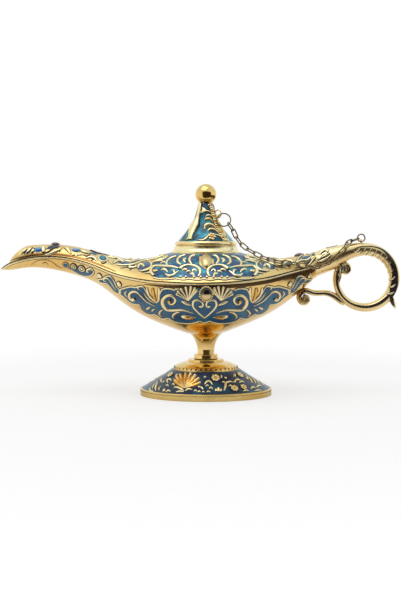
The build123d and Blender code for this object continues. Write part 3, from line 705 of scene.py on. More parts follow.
def panel(name, outlines, lay, finish, lift=0.10, grid=1.8, scale=MIRRORED, body="lamp"):
    """Thin sheets with the given outlines, laid by a function that finds a surface."""
    points, faces = [], []
    for outline in outlines:
        xs, ys = [p[0] for p in outline], [p[1] for p in outline]
        flat = [Vector(p[:2]) for p in outline]
        x = min(xs) + grid / 2
        while x < max(xs):
            y = min(ys) + grid / 2
            while y < max(ys):
                if inside(outline, x, y):
                    flat.append(Vector((x, y)))
                y += grid
            x += grid
        ring = list(range(len(outline)))
        made = delaunay_2d_cdt(flat, [], [ring], INSIDE_ONLY, CLOSEST)
        start = len(points)
        for corner in made[0]:
            place, normal = lay(corner.x, corner.y)
            points.append(place + normal * lift * MM)
        faces += [tuple(start + k for k in face) for face in made[2]]
    mesh = bpy.data.meshes.new(name + "_front")
    mesh.from_pydata(points, [], faces)
    piece = shown(mesh, name, finish)
    outward = lay(sum(xs) / len(xs), sum(ys) / len(ys))[1]
    if sum(p.normal.dot(outward) * p.area for p in mesh.polygons) < 0:
        mesh.flip_normals()
    solid = piece.modifiers.new("thickness", "SOLIDIFY")
    solid.thickness = FILL_THICKNESS * MM
    solid.offset = -1
    bpy.ops.object.modifier_apply(modifier=solid.name)
    return front_and_back(piece, name, scale, body)


def track(rows, lay, step=STEP):
    """Rows of (place, normal, width) for a strand, from a stroke in pixels."""
    return [(*lay(x, y), width) for x, y, width in smooth(rows, step)]


def wider(laid, more):
    """The same track for a line that shows on both sides of its strand."""
    return [(place, normal, width + more) for place, normal, width in laid]


def carve(strokes, lay, gold, dark, height=0.5, grow=1.0, rim=1.0, flat=0.19, step=STEP):
    """Lay strokes as raised strands, each with a dark line of patina and painted shade round it.
    """
    for rows in strokes:
        laid = [(p, n, w * grow) for p, n, w in track(rows, lay, step)]
        gold.strand(laid, height)
        dark.strand(wider(laid, rim), flat=flat)


def engrave(strokes, lay, dark, flat, edge=EDGE_DARKNESS):
    """Lay strokes as flat dark lines."""
    for rows in strokes:
        dark.strand(track(rows, lay), flat=flat, edge=edge)


def edging(runs, width):
    """Strokes of one width along the runs of an outline."""
    return [[(*point, width) for point in run] for run in runs]


def swelling(laid, widest, taper, power):
    """A track that is widest in its middle and tapers towards its ends."""
    return [(place, normal, widest - taper * abs(2 * i / len(laid) - 1) ** power)
            for i, (place, normal, width) in enumerate(laid)]


def mirrored(rows, axis=BODY_AXIS):
    """A stroke or outline mirrored at an axis of the picture."""
    return [(2 * axis - row[0], *row[1:]) for row in rows]


sample = track([(190, 310, 1), (195, 310, 1)], on_bowl)
print("a stroke of two points, 5 pixels long, gets", len(sample), "rings")

# %% [markdown]
# ## The bowl's enamel
#
# A broad band of blue enamel fills the upper half of the bowl, from the spout's root to the
# tail. Its lower edge hangs in scallops with cusps between them, its upper edge runs along
# below the ridge. The picture's left half is mirrored to the right, where the real one
# matches it within a pixel, and the front is mirrored to the back.
#
# Two small fields follow on each side, one towards the tip of the spout and one towards the
# tail.

# %% Fields of blue enamel on the bowl
lower_edge = [
    [(204.6, 322.8), (201.5, 321.8), (199.6, 321.0)],
    [(199.6, 321.0), (196.9, 322.2), (191.5, 323.3), (185.5, 323.5), (180.0, 322.9),
     (174.5, 321.4), (171.2, 319.9), (168.9, 318.0)],
    [(168.9, 318.0), (166.6, 318.7), (163.5, 318.9), (160.4, 317.8), (157.5, 315.9),
     (155.2, 314.2)],
    [(155.2, 314.2), (152.0, 314.9), (149.0, 314.3), (145.6, 312.9), (142.6, 310.6),
     (141.0, 308.3), (139.8, 304.6)],
    [(139.8, 304.6), (136.8, 304.6), (133.3, 303.9), (130.0, 302.0), (127.0, 299.6),
     (123.8, 296.6), (120.4, 294.6)],
]
upper_edge = [
    [(120.4, 294.6), (120.7, 289.3)],
    [(120.7, 289.3), (125.7, 287.9), (130.7, 286.8), (135.0, 287.5)],
    [(135.0, 287.5), (140.6, 286.3), (143.1, 286.6), (145.6, 290.0)],
    [(145.6, 290.0), (150.0, 297.4), (156.3, 302.5)],
    [(156.3, 302.5), (158.8, 300.6), (159.4, 295.0), (161.9, 290.0), (165.0, 288.8),
     (170.0, 288.8), (175.0, 290.3)],
    [(175.0, 290.3), (182.0, 288.6), (195.0, 288.4), (204.6, 288.4)],
]
half = outline_of(lower_edge + upper_edge)
other_half = [p for p in reversed(mirrored(half)) if p[0] > BODY_AXIS + 0.1]
main_field = half + [(BODY_AXIS, 288.4)] + other_half
tail_runs = [
    [(119.5, 293.8), (117.1, 293.2), (112.9, 290.0), (110.0, 286.4), (107.1, 283.6),
     (102.9, 283.2), (99.3, 281.1), (97.9, 279.3)],
    [(97.9, 279.3), (102.0, 279.0), (106.4, 276.4), (110.0, 276.1), (112.9, 278.6),
     (115.0, 282.9), (117.1, 287.1), (119.5, 289.0)],
    [(119.5, 289.0), (119.5, 293.8)],
]
tail_field = outline_of(tail_runs)
bowl_fields = [main_field, tail_field, list(reversed(mirrored(tail_field)))]
blue_front = panel("bowl_enamel", bowl_fields, on_bowl, blue_enamel)
print("bowl enamel:", len(blue_front.data.polygons), "faces a side")

# %% [markdown]
# ## The bowl's scrolls
#
# In the middle hangs a heart of two scrolls under the stone. Beside it a large volute rolls
# in, then a tulip hangs from the band, then an S-shaped scroll leads off to the end of the
# field. Each scroll is pale gold with a dark line round it, patina and painted shade.

# %% Strokes of the bowl
bowl_strokes = [
    [(204.6, 318.0, .7), (200.9, 315.0, .9), (195.6, 310.0, 1.0), (192.9, 305.6, 1.1),
     (193.3, 301.9, 1.2), (195.6, 300.1, 1.2), (198.8, 300.2, 1.1), (201.7, 301.9, .9),
     (203.0, 304.3, .9), (202.1, 306.4, 1.1), (200.3, 306.8, 1.3), (199.6, 305.3, 1.5)],
    [(193.1, 313.3, .4), (187.5, 311.0, 1.0), (183.1, 309.9, 1.3), (178.1, 309.9, 1.5),
     (171.9, 310.2, 1.6), (166.9, 309.2, 1.8), (163.8, 306.0, 2.0), (162.7, 302.3, 2.0),
     (163.4, 299.1, 1.8), (166.3, 296.2, 1.6), (170.0, 295.2, 1.5), (173.3, 296.6, 1.4),
     (175.1, 299.4, 1.3), (174.8, 302.4, 1.2), (172.4, 304.2, 1.2), (169.8, 303.4, 1.3),
     (168.9, 301.5, 1.5), (170.6, 300.4, 2.0)],
    [(155.6, 306.1, .4), (151.3, 304.1, .8), (146.3, 301.0, 1.0), (141.9, 296.6, 1.1),
     (138.1, 292.9, 1.1), (134.4, 291.5, 1.2), (131.3, 292.3, 1.3), (129.5, 294.7, 1.4),
     (130.2, 297.9, 1.6), (132.8, 299.6, 2.0), (135.0, 298.6, 1.8)],
    [(163.3, 309.6, .3), (160.6, 311.2, 1.0), (159.6, 313.6, 1.2), (160.4, 315.6, .9),
     (162.2, 317.0, .3)],
    [(180.5, 312.0, .3), (176.3, 312.8, 1.0), (173.6, 314.8, 1.2), (172.9, 317.0, 1.0),
     (173.8, 319.0, .3)],
    [(146.0, 309.2, .3), (147.9, 308.3, 1.3), (150.6, 307.0, .4)],
    [(152.0, 311.6, .4), (152.6, 310.2, 1.0), (155.3, 308.8, .3)],
    [(181.3, 316.2, .8), (183.2, 316.3, 2.0), (186.2, 316.6, 2.5), (190.5, 316.8, 2.0),
     (194.0, 317.2, 1.0), (197.4, 317.6, .2)],
    [(181.3, 301.4, .4), (184.4, 302.3, 1.6), (187.8, 303.9, 1.6), (190.8, 305.4, .5)],
    [(139.8, 289.6, .4), (137.9, 288.2, 1.0), (139.3, 286.4, .8), (142.0, 287.4, .4)],
    [(127.0, 291.0, .3), (125.0, 293.2, .9), (126.4, 296.0, .7), (129.0, 299.0, .3)],
    [(143.6, 292.0, .3), (146.4, 296.4, .9), (150.6, 300.6, .9), (155.2, 303.4, .3)],
    [(106.0, 281.4, .4), (104.0, 280.4, .9), (104.3, 278.6, .9), (107.4, 278.4, .8),
     (110.4, 281.0, .7), (113.6, 286.6, .6), (117.4, 291.4, .3)],
]
gold_front, dark_front = Relief(), Relief()
for turn in (list, mirrored):
    carve([turn(rows) for rows in bowl_strokes], on_bowl, gold_front, dark_front, grow=1.1)
for run in lower_edge + upper_edge[:5] + tail_runs:
    carve(edging((run, mirrored(run)), 0.85), on_bowl, gold_front, dark_front,
          rim=0.9, flat=0.16)
print("bowl strokes:", 2 * len(bowl_strokes), "scrolls,", len(gold_front.faces), "faces")

# %% [markdown]
# ## Fans, tulips, discs and the stone's beads
#
# Beside the middle stone two fans spread on a dark red ground, seven ribs each. The tulips
# hang from the ridge band, each with two gold petals and an amber one between them. The eyes of
# the volutes and the drops below them carry amber too. A plain disc sits on each side of the
# fields' ends. Small beads stand on the bezel of the stone.
#
# The bezel leans back with the bowl's wall, so a ray finds each bead's place on it, and all
# beads face the way that the bezel does.

# %% Fans, tulips, discs and beads
BEADS, BEAD_INSET = 20, 0.35
fan_base = (188.3, 300.6)
fan_tips = [(177.2, 294.2), (178.3, 291.6), (181.3, 289.3), (185.9, 287.9), (190.9, 287.5),
            (194.8, 288.6), (196.7, 290.6)]
petals = [
    [(146.9, 287.6, 1.2), (148.4, 293.6, 1.5), (152.2, 298.4, 1.2), (157.0, 302.6, .3)],
    [(153.0, 288.0, 1.2), (153.2, 293.0, 1.9), (154.8, 298.6, 1.4), (156.8, 302.2, .3)],
    [(159.0, 287.4, 1.2), (159.2, 292.0, 1.5), (158.4, 297.2, 1.0), (157.2, 302.2, .3)],
]
fan_ground = outline_of([[(188.3, 302.4)] + fan_tips + [(188.3, 302.4)]])
drop = [(183.6, 316.4, .4), (186.8, 316.6, 1.8), (190.6, 316.9, 1.2), (194.4, 317.2, .3)]
amber_front = Relief()
panel("fan_ground", [fan_ground, list(reversed(mirrored(fan_ground)))], on_bowl, maroon, lift=0.16)
for turn in (list, mirrored):
    for x, y in fan_tips:
        middle = ((fan_base[0] + 2 * x) / 3, (fan_base[1] + 2 * y) / 3)
        rib = turn([(*fan_base, .5), (*middle, 0.95), (x, y, 1.5)])
        gold_front.strand(track(rib, on_bowl), 0.42, lift=0.1)
        tip = on_bowl(*turn([(x, y)])[0])
        gold_front.boss(*tip, [(0.8, 0.1, 0.8), (0.65, 0.5, 0), (0.3, 0.75, 0)], 12)
    volute_eye = on_bowl(*turn([(169.8, 300.8)])[0])
    amber_front.boss(*volute_eye, [(0.95, 0.5, 0.9), (0.8, 1.15, 0.3), (0.3, 1.35, 0)], 12)
    for petal, relief in zip(petals, (gold_front, amber_front, gold_front)):
        laid = track(turn(petal), on_bowl)
        relief.strand(laid, 0.42, lift=0.05)
        dark_front.strand(wider(laid, 0.6), flat=0.18)
    amber_front.strand(track(turn(drop), on_bowl), 0.45, lift=0.95)
    for disc in ((99.9, 275.6), (119.3, 283.9)):
        spot = on_bowl(*turn([disc])[0])
        dark_front.boss(*spot, [(1.85, 0.12, 0), (1.5, 0.14, 0)])
        gold_front.boss(*spot, [(1.5, 0.25, 0.8), (1.29, 0.5, 0), (0.75, 0.6, 0),
                                (0.225, 0.55, 0)])

# the beads on the bezel
bezel_low, bezel_high = (Vector(corner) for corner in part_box("bowl_bezel_front"))
middle = (bezel_low + bezel_high) / 2
reach = (bezel_high - bezel_low) / 2 - Vector((BEAD_INSET, 0, BEAD_INSET)) * MM
bead_places = []
for k in range(BEADS):
    angle = math.tau * k / BEADS
    spot = Vector((middle.x + math.cos(angle) * reach.x, bezel_low.y - MM,
                   middle.z + math.sin(angle) * reach.z))
    place = tree_of("bowl_bezel_front").ray_cast(spot, Vector((0, 1, 0)))[0]
    if place is not None:
        bead_places.append(place)
right, top, left, bottom = bead_places[::len(bead_places) // 4][:4]
facing = (bottom - top).cross(left - right).normalized()
facing = facing if facing.y < 0 else -facing
for place in bead_places:
    gold_front.boss(place, facing, [(0.52, -0.1, 0.8), (0.46, 0.2, 0), (0.2, 0.38, 0)], 8)
scrolls_front = gold_front.made("bowl_scrolls", pale_gold)
dark_front.made("bowl_lines", outline_dark)
amber_front.made("bowl_amber", amber_gold)
print("bowl relief:", len(scrolls_front.data.polygons), "faces a side,", len(bead_places), "beads")

# %% [markdown]
# ## The ridge
#
# Bowl and deck meet in a ridge that runs round the whole body. A dark line is worked in
# along the seam, with a thin bright bead below it. Under that, right of the spout, a dark brown
# band is painted for the ridge's dark reflection of the tent's opening, with patina. The ridge
# is known from the body's widths and heights, so they follow a row of points in millimetres:
# along, out and up.

# %% Seam line and bead
RIDGE_STEP, RAY_START = 1.2, 6
ridge = [(-109.4, 2.0, 68.4), (-108.5, 3.2, 69.1), (-105.2, 5.2, 71.0), (-99.0, 6.8, 73.0),
         (-90.0, 7.6, 74.6), (-80.0, 8.9, 74.8), (-70.0, 11.0, 73.5), (-60.0, 14.2, 70.7),
         (-47.0, 20.8, 65.9), (-32.0, 28.4, 63.0), (-18.0, 34.0, 62.0), (0.0, 37.3, 61.7),
         (18.0, 34.5, 62.6), (32.0, 27.4, 64.3), (44.0, 19.0, 67.0), (52.0, 12.4, 68.7),
         (57.9, 7.9, 70.1)]


def along_ridge(drop, width, rows=ridge, solid="lower_bowl"):
    """A track beside the seam on the front: it touches a solid at a drop below the seam."""
    found = []
    for x, out, z in smooth(rows, RIDGE_STEP):
        spot = Vector((x, -out - RAY_START, z - drop)) * MM
        place, normal = tree_of(solid).ray_cast(spot, Vector((0, 1, 0)))[:2]
        if place is not None:
            found.append((place, normal, width))
    return found


seam_front, bead_front, dark_reflection_front = Relief(), Relief(), Relief()
seam_front.strand(along_ridge(0.25, 0.55), flat=0.10)
bead_front.strand(along_ridge(0.95, 0.7), 0.35, edge=0.5)
seam_front.strand(along_ridge(1.55, 0.35), flat=0.08)
# painted reflection: a dark brown band where the ridge's underside mirrors the tent's opening
right_of_spout = [row for row in ridge if row[0] > -33]
dark_reflection_front.strand(swelling(along_ridge(2.5, 1.0, right_of_spout), 2.2, 1.9, 3),
                   flat=0.12, edge=0.1)
seam_front.made("seam_line", outline_dark)
dark_reflection_front.made("seam_painted_reflection", umber)
bead_front.made("seam_bead", pale_gold)
print("ridge:", len(ridge), "points")

# %% [markdown]
# ## The deck's enamel
#
# The deck is the busiest part: scrolls in pairs stand on a shimmering ground of teal, blue
# and violet. The ground reaches from the collar to a gold border that follows the ridge. It
# is drawn in plan, in millimetres, and laid straight down, because from the front it is seen
# at a slant. Small fields of the same enamel lie beside it.

# %% The shimmering ground
ABOVE, DECK_LEVEL = 130, 70             # where rays start, and about where they end
COLLAR_REACH, BACK_EDGE = 19.2, -0.1    # the collar's hole, and the line between the halves
END_ROOM, FIELD_STEP = 2.5, 2.0
deck_edge = [(x, out) for x, out, z in ridge]


def from_above(x, y):
    """Point and normal of the deck under a place in plan, in millimetres."""
    tree = tree_of("upper_deck")
    place, normal = tree.ray_cast(Vector((x, y, ABOVE)) * MM, Vector((0, 0, -1)))[:2]
    if place is None:
        place, normal = tree.find_nearest(Vector((x, y, DECK_LEVEL)) * MM)[:2]
    return place, normal


def deck_field(reach, margin):
    """Front half of the ground round the collar, with a rounded end on each side."""
    edge = [(x, -(out - margin)) for x, out in smooth(deck_edge, FIELD_STEP)
            if abs(x) < reach - END_ROOM]
    end = smooth([(-2.2, -26.2), (-1.0, -23.6), (-0.6, -21.0), (-1.4, -18.0), (-2.8, -15.0),
                  (-3.2, -11.0), (-2.2, -7.0), (0.6, -4.0), (3.4, BACK_EDGE)], FIELD_STEP)
    arc = []
    for turn in range(0, -181, -8):
        angle = math.radians(turn)
        arc.append((COLLAR_REACH * math.cos(angle), COLLAR_REACH * math.sin(angle) + BACK_EDGE))
    tail = [(x, BACK_EDGE) for x in range(reach + 1, 20, -2)]
    spout = [(x, BACK_EDGE) for x in range(-21, -reach - 2, -2)]
    return (edge + [(reach + out, y) for out, y in end] + tail + arc + spout
            + [(-reach - out, y) for out, y in reversed(end)])


leaf_fields = [
    [(-36.0, -19.6), (-34.5, -15.0), (-32.6, -12.0), (-30.2, -12.4), (-29.0, -15.6),
     (-29.2, -18.4), (-31.4, -20.0), (-34.0, -20.8), (-36.0, -19.6)],
    [(-46.5, -12.4), (-44.0, -10.6), (-41.0, -11.0), (-38.6, -12.6), (-40.0, -14.2),
     (-43.5, -14.0), (-46.5, -12.4)],
    [(-41.0, -4.0), (-36.0, -6.8), (-32.5, -7.6), (-31.5, -5.6), (-34.0, -2.8), (-38.0, -2.2),
     (-41.0, -4.0)],
]
fields = [deck_field(reach=30, margin=2.0)]
for rows in leaf_fields:
    fields += [outline_of([rows]), outline_of([[(-x, y) for x, y in rows]])]
ground = panel("deck_ground", fields, from_above, teal_enamel, grid=1.6)
print("deck ground:", len(ground.data.polygons), "faces a side")

# %% [markdown]
# ## The deck's scrolls
#
# An arch of two C-scrolls stands before the middle, with the drop-shaped stone on it. Inner
# scrolls curl towards the collar, long ones run out to the sides. The strokes are drawn off
# the photograph again, with its middle at the deck's own axis. Slits are dark strokes without
# gold. A gold border closes the ground in front, and beads stand on it.

# %% Strokes of the deck
deck_strokes = [
    [(198.0, 276.3, .7), (200.0, 273.3, 1.1), (199.7, 269.3, 1.2), (196.7, 266.7, 1.2),
     (191.3, 265.3, 1.3), (186.0, 265.7, 1.4), (182.0, 267.3, 1.6), (179.9, 269.3, 1.8)],
    [(182.0, 271.0, .6), (184.5, 269.9, 1.5), (187.3, 270.0, 1.1)],
    [(186.0, 273.0, .5), (188.0, 271.6, 1.4), (190.6, 271.4, .8)],
    [(194.0, 276.6, .5), (192.8, 274.2, 1.5), (190.0, 273.6, .8)],
    [(178.7, 268.0, .5), (172.0, 266.7, 1.2), (165.3, 266.3, 1.3), (158.7, 266.0, 1.3),
     (154.0, 266.7, 1.4), (151.3, 269.3, 1.5), (151.3, 272.7, 1.4), (154.0, 275.6, 1.1)],
    [(153.0, 270.0, .5), (155.6, 271.4, 1.6), (157.6, 270.2, .8)],
    [(165.3, 273.3, .5), (167.4, 275.2, 1.1), (170.0, 276.0, 1.3), (173.2, 275.2, 1.2),
     (175.3, 273.3, 1.1), (178.7, 270.7, .5)],
    [(192.0, 264.0, .6), (189.7, 261.3, 1.1), (190.0, 258.0, 1.2), (192.7, 256.0, 1.3),
     (195.3, 256.2, 1.3)],
    [(181.3, 264.7, .6), (178.0, 262.7, 1.1), (178.0, 259.3, 1.2), (180.7, 256.9, 1.3),
     (185.3, 255.6, 1.3)],
    [(185.6, 262.6, .5), (184.0, 260.4, 1.3), (186.0, 258.6, .9)],
    [(168.0, 266.7, .5), (166.7, 262.7, 1.1), (169.3, 259.3, 1.2), (173.3, 257.5, 1.3),
     (176.7, 256.6, 1.2)],
    [(151.3, 263.3, .5), (154.6, 262.0, 1.6), (158.0, 261.5, 1.8), (163.3, 260.7, .8)],
    [(160.4, 263.6, .4), (163.0, 262.4, 1.0), (166.0, 262.4, .4)],
    [(117.0, 264.8, .5), (124.0, 265.4, 1.1), (131.0, 265.0, 1.2), (137.0, 263.4, 1.3),
     (143.0, 261.2, 1.3), (150.0, 259.8, 1.1), (158.0, 258.8, .5)],
    [(113.5, 263.6, .4), (117.0, 261.2, 1.4), (121.0, 260.9, 1.2), (124.0, 262.0, .5)],
    [(138.0, 268.4, .4), (139.2, 265.4, 1.4), (142.4, 264.8, 1.3), (144.4, 266.8, .6)],
    [(138.6, 270.4, .5), (143.0, 270.9, 1.0), (147.6, 269.8, 1.1), (151.4, 266.2, 1.0),
     (150.8, 262.6, .9), (147.4, 260.8, .6)],
    [(144.6, 273.4, .4), (149.6, 272.6, 1.0), (152.6, 269.6, .5)],
    [(126.0, 259.8, .4), (131.0, 259.0, 1.3), (137.0, 259.2, 1.2), (141.0, 260.4, .4)],
    [(196.8, 271.4, .4), (195.0, 269.9, 1.0), (193.0, 270.2, 1.0), (192.6, 271.9, .6)],
    [(160.8, 270.6, .4), (163.4, 269.3, 1.3), (166.4, 270.4, .9), (167.6, 272.4, .4)],
    [(171.6, 269.6, .4), (174.2, 270.8, 1.0), (173.8, 272.6, .5)],
]
slits = [
    [(120.4, 268.2, .3), (126.0, 267.4, 1.1), (131.0, 266.6, 1.0), (135.2, 265.4, .3)],
    [(129.6, 270.6, .4), (131.4, 269.2, .9)],
    [(141.6, 272.4, .3), (146.0, 271.8, .8), (149.4, 270.8, .3)],
    [(154.2, 276.8, .3), (156.6, 275.6, 1.0), (158.8, 273.8, .3)],
    [(160.8, 276.0, .3), (162.4, 274.2, .8)],
    [(131.0, 263.0, .3), (137.0, 261.6, .6), (143.0, 259.4, .6), (152.0, 258.2, .5),
     (160.0, 257.4, .3)],
]
border = [
    [(153.4, 277.4), (160.0, 278.9), (168.0, 279.1), (176.0, 278.2)],
    [(176.0, 278.2), (183.0, 279.5), (190.0, 278.6)],
    [(190.0, 278.6), (197.0, 279.8), (203.9, 279.0)],
]
bead_rows = [[(x, 276.9)] for x in (180.6, 186.0, 194.2, 200.8)]
gold_front, dark_front = Relief(), Relief()
mirrored_deck = partial(mirrored, axis=DECK_AXIS)
for turn in (list, mirrored_deck):
    carve([turn(rows) for rows in deck_strokes], on_deck, gold_front, dark_front,
          grow=1.3, rim=0.9)
    engrave([turn(rows) for rows in slits], on_deck, dark_front, 0.25, 0)
for run in border:
    carve(edging((run, mirrored_deck(run)), 1.0), on_deck, gold_front, dark_front,
          height=0.42, rim=0.7, flat=0.14)
for row in bead_rows:
    for spot in row + mirrored_deck(row):
        gold_front.boss(*on_deck(*spot), [(0.75, 0.1, 0.8), (0.62, 0.42, 0), (0.25, 0.62, 0)], 10)
print("deck strokes:", 2 * len(deck_strokes), "scrolls,", len(gold_front.faces), "faces")

# %% [markdown]
# ## Curls on the spout's back and the tail
#
# Behind the collar the ornament goes on in pairs along the spout and the tail. From the
# front these curls are seen from the side only, as a bumpy outline, so they are drawn in
# plan. The same stroke serves at several places, in several sizes.

# %% Pairs of curls in plan
curl = [(-4.4, 0.6, .4), (-1.6, 2.2, .9), (1.4, 2.9, 1.1), (3.9, 2.1, 1.2), (4.6, 0.2, 1.2),
        (3.2, -0.9, 1.3), (1.9, -0.1, 1.4)]
leaf = [(-3.0, 0.0, .3), (-0.6, 0.7, 1.5), (1.6, 0.5, 1.3), (3.2, -0.4, .3)]
curl_places = [(-26.5, -5.0, 1.0, 1), (-41.5, -7.2, 0.8, 1), (-51.0, -4.6, 0.8, 1),
               (-24.5, -11.5, 0.9, 1), (26.0, -5.2, 1.0, -1), (41.0, -6.2, 0.7, -1),
               (24.5, -11.5, 0.9, -1)]
for x, y, size, way in curl_places:
    drawn = [[(x + way * px * size, y - py * size, width * size) for px, py, width in curl],
             [(x + way * px * size, y - (py + 1.4) * size, width * size)
              for px, py, width in leaf]]
    carve(drawn, from_above, gold_front, dark_front, grow=1.15, rim=0.8, step=0.45)
print("curls in plan:", len(curl_places), "a side")

# %% [markdown]
# ## Leaves on the tail and the handle's neck
#
# Long leaves run from the tail on to the neck of the handle, with slits between them, and two
# small fields of blue enamel shine through behind.

# %% Leaves on the tail and the handle's neck
tail_fields = [
    [(301.0, 259.4), (302.6, 257.2), (306.0, 256.2), (309.6, 256.4), (308.0, 258.4),
     (304.0, 259.6), (301.0, 259.4)],
    [(311.2, 254.8), (314.0, 252.8), (316.8, 252.0), (316.0, 253.8), (313.4, 255.0),
     (311.2, 254.8)],
]
panel("tail_ground", [outline_of([rows], 0.8) for rows in tail_fields], on_deck, blue_enamel,
      grid=1.2)
tail_strokes = [
    [(294.6, 264.6, .4), (297.2, 261.8, 1.1), (301.0, 260.6, 1.2), (306.0, 260.2, 1.2),
     (310.0, 257.8, .9), (311.8, 255.4, .4)],
    [(295.6, 262.2, .3), (299.2, 257.4, .8), (303.4, 254.8, .9), (309.0, 254.4, .8),
     (311.0, 255.6, .4)],
    [(283.0, 264.2, .4), (287.0, 262.2, 1.4), (291.0, 262.4, 1.0), (294.0, 264.0, .4)],
    [(276.0, 265.8, .4), (280.0, 264.2, 1.2), (284.0, 265.8, .5)],
    [(311.0, 259.2, .4), (313.0, 257.2, 1.3), (315.4, 257.4, .5)],
]
tail_slits = [[(303.4, 262.0, .3), (306.4, 263.0, 1.1), (310.4, 260.6, .3)],
              [(296.4, 261.8, .3), (299.6, 258.6, .6), (302.4, 256.4, .3)],
              [(311.4, 261.0, .3), (314.0, 260.2, .8), (316.0, 259.0, .3)]]
neck_strokes = [
    [(318.6, 255.2, .4), (321.6, 252.0, 1.6), (325.4, 250.2, 1.6), (328.4, 252.2, .6)],
    [(320.0, 258.0, .4), (325.0, 255.6, 1.2), (329.4, 252.6, .5)],
    [(317.0, 262.0, .4), (321.6, 260.6, 1.1), (327.0, 257.8, .9), (330.4, 255.0, .4)],
]
neck_slits = [[(319.0, 260.0, .3), (323.0, 258.4, .8), (327.6, 256.2, .3)],
              [(321.0, 254.9, .3), (324.6, 254.6, 1.0), (327.6, 252.4, .3)],
              [(318.4, 249.8, .2), (325.4, 248.0, .5), (333.0, 246.6, .5), (340.0, 244.8, .2)]]
carve(tail_strokes, on_deck, gold_front, dark_front, grow=1.15, rim=0.8)
carve(neck_strokes, on_handle, gold_front, dark_front, grow=1.1, rim=0.8)
engrave(tail_slits, on_deck, dark_front, 0.25, 0)
engrave(neck_slits, on_handle, dark_front, 0.2, 0)
scrolls = gold_front.made("deck_scrolls", pale_gold)
dark_front.made("deck_lines", outline_dark)
print("deck relief:", len(scrolls.data.polygons), "faces a side")

# %% [markdown]
# ## The spout
#
# On the side of the spout the enamel ends in a small field with two rosettes over it and a
# blue disc before them. A thin line is engraved on the lip, and along the seam a brown band,
# painted shade with patina, stands for a channel.

# %% Side of the spout
gold_front, dark_front = Relief(), Relief()
small_runs = [
    [(68.6, 268.4), (71.5, 269.6), (74.3, 271.4), (77.0, 273.0), (80.0, 274.6), (85.7, 276.1),
     (90.7, 275.6), (93.4, 273.4), (93.8, 271.0), (91.6, 269.8)],
    [(91.6, 269.8), (89.0, 271.4), (86.6, 271.6), (84.6, 268.4), (80.0, 265.6), (76.0, 266.4),
     (72.0, 265.8), (68.6, 268.4)],
]
small_curl = [(93.4, 269.2, .5), (90.4, 268.6, 1.1), (87.6, 269.8, 1.3), (87.4, 271.8, 1.1),
              (89.0, 272.2, .6)]
panel("spout_enamel", [outline_of(small_runs, 0.8)], on_bowl, blue_enamel, grid=1.4)
carve(edging(small_runs[:1], 0.7), on_bowl, gold_front, dark_front,
      height=0.45, rim=0.8, flat=0.15)
carve([small_curl], on_bowl, gold_front, dark_front, rim=0.8)
for px, py, size in ((73.9, 266.4, 1.65), (82.1, 268.6, 1.95)):
    spot = on_bowl(px, py)
    dark_front.boss(*spot, [(size + 0.45, 0.14, 0), (size, 0.16, 0)])
    gold_front.boss(*spot, [(size, 0.3, 0.9), (size * 0.9, 0.55, 0.1), (size * 0.68, 0.5, 0.2),
                            (size * 0.56, 0.25, 0.9), (size * 0.42, 0.35, 0.6),
                            (size * 0.3, 0.6, 0), (size * 0.1, 0.66, 0)])
disc_front = Relief()
spot = on_bowl(66.1, 265.0)
dark_front.boss(*spot, [(2.05, 0.12, 0), (1.6, 0.14, 0)])
gold_front.boss(*spot, [(1.75, 0.2, 0.8), (1.6, 0.4, 0), (1.4, 0.4, 0.2), (1.3, 0.2, 0.8)])
disc_front.boss(*spot, [(1.3, 0.24, 0), (0.8, 0.36, 0), (0.2, 0.4, 0)])
disc_front.made("spout_disc", blue_enamel)
lip_lines = [
    [(32.1, 264.6, .25), (35.7, 261.6, .4), (40.7, 260.2, .4), (46.4, 260.0, .5),
     (51.4, 261.4, .5), (55.7, 264.4, .6), (59.3, 267.0, .6), (62.9, 268.2, .3)],
    [(42.5, 263.9, .2), (44.3, 262.5, .6), (46.4, 262.7, .6), (48.6, 264.9, .2)],
]
engrave(lip_lines, on_bowl, dark_front, 0.12)
# painted shade: a flat brown band along the seam's channel, with patina
channel = Relief()
along_spout = [row for row in ridge if row[0] < -46]
channel.strand(swelling(along_ridge(-1.05, 1.0, along_spout, "upper_deck"), 1.5, 1.2, 5),
               flat=0.16, edge=0.6)
channel.made("spout_channel", brown)
print("spout side:", len(gold_front.faces), "faces")

# %% [markdown]
# ## The hood of the spout
#
# On the hood there are slanting leaves between slits, small patches of enamel and a long
# curved leaf below the red stone. An oval of teal enamel has a gold edge.

# %% Leaves and patches of the hood
slits = [
    [(24.2, 254.4, .3), (25.6, 251.8, .8), (28.2, 249.6, .3)],
    [(28.0, 254.2, .3), (29.6, 251.6, .9), (33.4, 247.6, .4)],
    [(32.8, 253.6, .3), (34.2, 251.6, .8), (35.6, 250.6, .3)],
    [(42.9, 253.2, .4), (47.1, 252.5, 1.0), (51.4, 250.2, 1.1), (54.6, 248.3, 1.0),
     (58.6, 247.9, .4)],
    [(59.6, 252.2, .3), (60.8, 251.0, .6)],
    [(72.4, 254.8, .3), (73.8, 255.8, .9), (75.2, 254.6, .3)],
    [(84.0, 255.2, .3), (86.4, 256.2, .8), (89.0, 255.4, .8), (91.0, 253.6, .3)],
    [(91.4, 260.6, .3), (92.8, 259.8, .9), (93.8, 259.0, .3)],
    [(101.0, 262.6, .3), (103.4, 263.4, .9), (106.6, 262.0, .5)],
    [(90.0, 250.4, .3), (97.0, 253.0, .6), (104.0, 254.8, .6), (110.0, 256.6, .5),
     (118.0, 259.4, .3)],
]
